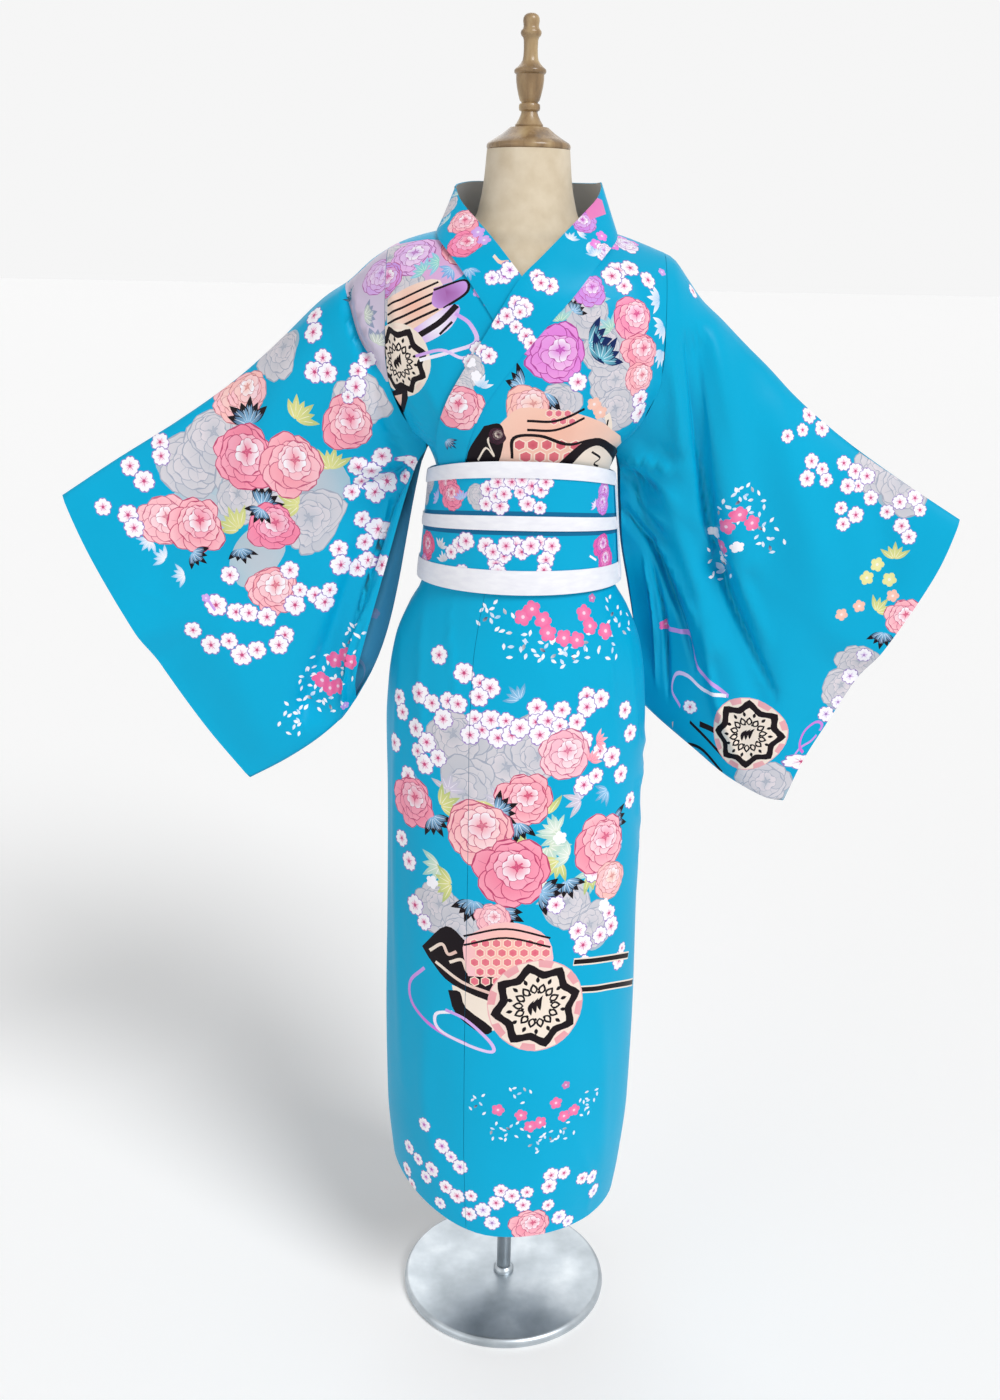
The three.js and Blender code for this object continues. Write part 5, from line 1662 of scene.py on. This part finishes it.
def dress_form():
    rings = np.array([form_ring(*row) for row in FORM] + [neck_ring(*row) for row in NECK])
    rings = spline(rings.reshape(len(rings), -1), 4).reshape(-1, FORM_COLUMNS, 3)
    faces = []
    for i in range(len(rings) - 1):
        for j in range(FORM_COLUMNS):
            k = (j + 1) % FORM_COLUMNS
            a, b = i * FORM_COLUMNS, (i + 1) * FORM_COLUMNS
            faces.append((a + j, a + k, b + k, b + j))
    last = (len(rings) - 1) * FORM_COLUMNS
    faces.append(tuple(range(FORM_COLUMNS))[::-1])
    faces.append(tuple(range(last, last + FORM_COLUMNS)))
    mesh = bpy.data.meshes.new("form_body")
    mesh.from_pydata((rings.reshape(-1, 3) * MM).tolist(), [], faces)
    mesh.polygons.foreach_set("use_smooth", np.ones(len(faces), bool))
    mesh.set_sharp_from_angle(angle=math.radians(50))
    mesh.materials.append(JERSEY)
    piece = bpy.data.objects.new("form_body", mesh)
    bpy.context.collection.objects.link(piece)
    return piece


DISC = [(146, 0), (148.4, 1.0), (149.6, 3), (150, 6), (149.6, 8.4), (148.5, 10.8), (147, 12.6),
        (145, 13.7), (143, 14)]
FLANGE = [(15, 0), (15, 4.4), (14.4, 5.4), (12.6, 8.2), (11.6, 9)]
CAP = [(48.2, 0), (49.2, 1.0), (49.5, 3), (49.0, 5.4), (47.2, 7.4), (40, 11.6), (31, 17.4),
       (24.6, 22.6), (23, 24)]
FINIAL = [
    (16, 0), (16.5, 1.4), (16.5, 2.8), (15.4, 4.2), (13, 8), (11, 12), (9.9, 15), (9.5, 16.8),
    (10.4, 17.6), (12, 18.5), (12.5, 21), (12.4, 23.6), (11.8, 25.2), (9.6, 26.4), (9.9, 27.4),
    (11.6, 29), (13.4, 35), (15.2, 43), (16.3, 51), (16.3, 57), (17.6, 57.8), (18.6, 59.2),
    (18.6, 61.6), (17.6, 63), (15, 65), (11.6, 68.4), (9.4, 72), (8.5, 76), (8.1, 84), (8.4, 93),
    (9.2, 96), (11.2, 98), (12.1, 100.4), (11.8, 102.8), (9.8, 105), (8.8, 107.6), (9.2, 111),
    (9.6, 113.4), (9.3, 116.6), (8, 119.2), (5.6, 121), (2.8, 121.8), (0.6, 122),
]
REST_GAP = 0.3
FLANGE_BASE = 14 + REST_GAP
POLE_BASE = FLANGE_BASE + 9 + REST_GAP
CAP_BASE = 1603 + REST_GAP
FINIAL_BASE = CAP_BASE + 24 + REST_GAP


def stand():
    pole_height = 840 - REST_GAP - POLE_BASE
    pole = [(10.2, 0), (10.5, 0.4), (10.5, pole_height - 0.4), (10.2, pole_height)]
    return [
        (turned("stand_disc", DISC, 0, CHROME, 160), "base_disc", "chrome"),
        (turned("stand_flange", FLANGE, FLANGE_BASE, CHROME, 64), "base_flange", "chrome"),
        (turned("stand_pole", pole, POLE_BASE, CHROME, 64), "pole", "chrome"),
        (turned("wood_cap", CAP, CAP_BASE, WOOD), "neck_cap", "turned_wood"),
        (turned("wood_finial", FINIAL, FINIAL_BASE, WOOD), "finial", "turned_wood"),
        (dress_form(), "form_torso", "form_jersey"),
    ]


def light(name, place, target, size, power, colour=(1, 1, 1)):
    data = bpy.data.lights.new(name, "AREA")
    data.shape = "DISK"
    data.size = size
    data.energy = power
    data.color = colour
    lamp = bpy.data.objects.new(name, data)
    lamp.location = place
    lamp.rotation_euler = (Vector(target) - Vector(place)).to_track_quat("-Z", "Y").to_euler()
    bpy.context.collection.objects.link(lamp)


def sun(name, place, strength, spread):
    """Even light from the direction of a place, softened over a spread in degrees."""
    data = bpy.data.lights.new(name, "SUN")
    data.energy = strength
    data.angle = math.radians(spread)
    lamp = bpy.data.objects.new(name, data)
    lamp.location = place
    lamp.rotation_euler = Vector(place).to_track_quat("Z", "Y").to_euler()
    bpy.context.collection.objects.link(lamp)


def studio():
    """A pale floor that runs off into a pale world, and soft lamps."""
    mesh = bpy.data.meshes.new("floor")
    far = 60.0
    mesh.from_pydata([(-far, -far, 0), (far, -far, 0), (far, far, 0), (-far, far, 0)], [],
                     [(0, 1, 2, 3)])
    floor = bpy.data.objects.new("floor", mesh)
    bpy.context.collection.objects.link(floor)
    material = bpy.data.materials.new("floor")
    material.use_nodes = True
    shader = material.node_tree.nodes["Principled BSDF"]
    shader.inputs["Base Color"].default_value = (0.93, 0.93, 0.93, 1)
    shader.inputs["Roughness"].default_value = 0.9
    shader.inputs["Specular IOR Level"].default_value = 0.1
    shader.inputs["Emission Color"].default_value = (1, 1, 1, 1)
    shader.inputs["Emission Strength"].default_value = 0.12
    mesh.materials.append(material)
    world = bpy.data.worlds.new("studio")
    world.use_nodes = True
    nodes, links = world.node_tree.nodes, world.node_tree.links
    sky = nodes["Background"]
    sky.inputs["Color"].default_value = (1, 1, 1, 1)
    sky.inputs["Strength"].default_value = 0.3
    seen = nodes.new("ShaderNodeBackground")
    seen.inputs["Color"].default_value = (1, 1, 1, 1)
    seen.inputs["Strength"].default_value = 0.92
    path = nodes.new("ShaderNodeLightPath")
    blend = nodes.new("ShaderNodeMixShader")
    links.new(path.outputs["Is Diffuse Ray"], blend.inputs["Fac"])
    links.new(seen.outputs["Background"], blend.inputs[1])
    links.new(sky.outputs["Background"], blend.inputs[2])
    links.new(blend.outputs["Shader"], nodes["World Output"].inputs["Surface"])
    bpy.context.scene.world = world
    sun("key", (1.9, -2.3, 2.6), 2.12, 26)
    sun("fill", (-3.0, -2.4, 1.0), 0.42, 50)
    sun("back", (-0.6, 3.0, 2.2), 0.5, 50)


make_camera()
bpy.context.scene.view_settings.view_transform = "Standard"
studio()

PIECES = stand()
CLOTH = [
    ("skirt_back_left", "back_left", lambda name: panel(
        name, 1, body_outline(back_left_hem, CENTRE_BACK, BACK_EDGE, 1),
        [draw_skirt, draw_back], None, BACK_CREASES)),
    ("skirt_back_right", "back_right", lambda name: panel(
        name, 1, mirrored(body_outline(back_right_hem, CENTRE_BACK, BACK_EDGE, 1)),
        [draw_skirt, draw_back], None, BACK_CREASES)),
    ("front_over", "front_left", lambda name: panel(
        name, -1, body_outline(over_hem, OKUMI_SEAM, OVER_FRONT_EDGE, -1),
        [draw_skirt, draw_over], over_layer, OVER_CREASES)),
    ("overlap_over", "okumi_left", lambda name: panel(
        name, -1, okumi_outline(over_hem, OVER_EDGE), [draw_skirt], over_layer, OVER_CREASES)),
    ("front_under", "front_right", lambda name: panel(
        name, -1, mirrored(body_outline(under_hem, OKUMI_SEAM, UNDER_FRONT_EDGE, -1)),
        [draw_skirt, draw_under], None, UNDER_CREASES)),
    ("overlap_under", "okumi_right", lambda name: panel(
        name, -1, mirrored(okumi_outline(under_hem, UNDER_EDGE)), [], None)),
    ("collar_over", "collar_left", lambda name: collar(name, 1, draw_over_collar)),
    ("collar_under", "collar_right", lambda name: collar(name, -1, draw_under_collar)),
    ("sleeve_of_left_arm", "sleeve_left", lambda name: sleeve(
        name, 1, {-1: draw_left_sleeve, 1: draw_right_sleeve}, LEFT_SLEEVE_CREASES)),
    ("sleeve_of_right_arm", "sleeve_right", lambda name: sleeve(
        name, -1, {-1: draw_right_sleeve, 1: draw_left_sleeve}, RIGHT_SLEEVE_CREASES)),
]
for name, node, build in CLOTH:
    piece = build(name)
    PIECES.append((piece, node, "printed_satin"))

BELT_PIECES = [
    ("belt_cloth", "obi_belt", "printed_satin", lambda name: belt_strip(
        name, BELT, (0.0, 1.0), BELT_WALL, SATIN_CLOTH, draw_belt)),
    ("belt_band_low", "obi_band_bottom", "white_trim", lambda name: belt_strip(
        name, BELT_TRIM, BAND_BOTTOM, WALL, WHITE_TRIM, crown=0.5)),
    ("belt_ribbon", "obi_ribbon", "white_trim", lambda name: belt_strip(
        name, BELT_TRIM, RIBBON, WALL, WHITE_TRIM, crown=0.4)),
    ("belt_band_high", "obi_band_top", "white_trim", lambda name: belt_strip(
        name, BELT_TRIM, BAND_TOP, WALL, WHITE_TRIM, crown=0.5)),
    ("belt_binding", "obi_binding", "white_trim", lambda name: belt_strip(
        name, BINDING, (0.03, 0.95), WALL, WHITE_TRIM,
        ends=(BELT_ARC * math.radians(74), BELT_ARC * math.radians(77.5)))),
]
belt = [(build(name), node, slot) for name, node, slot, build in BELT_PIECES]
PIECES += belt

for piece, node, slot in PIECES:
    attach(piece, "root")
    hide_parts(node)

bpy.context.view_layer.update()
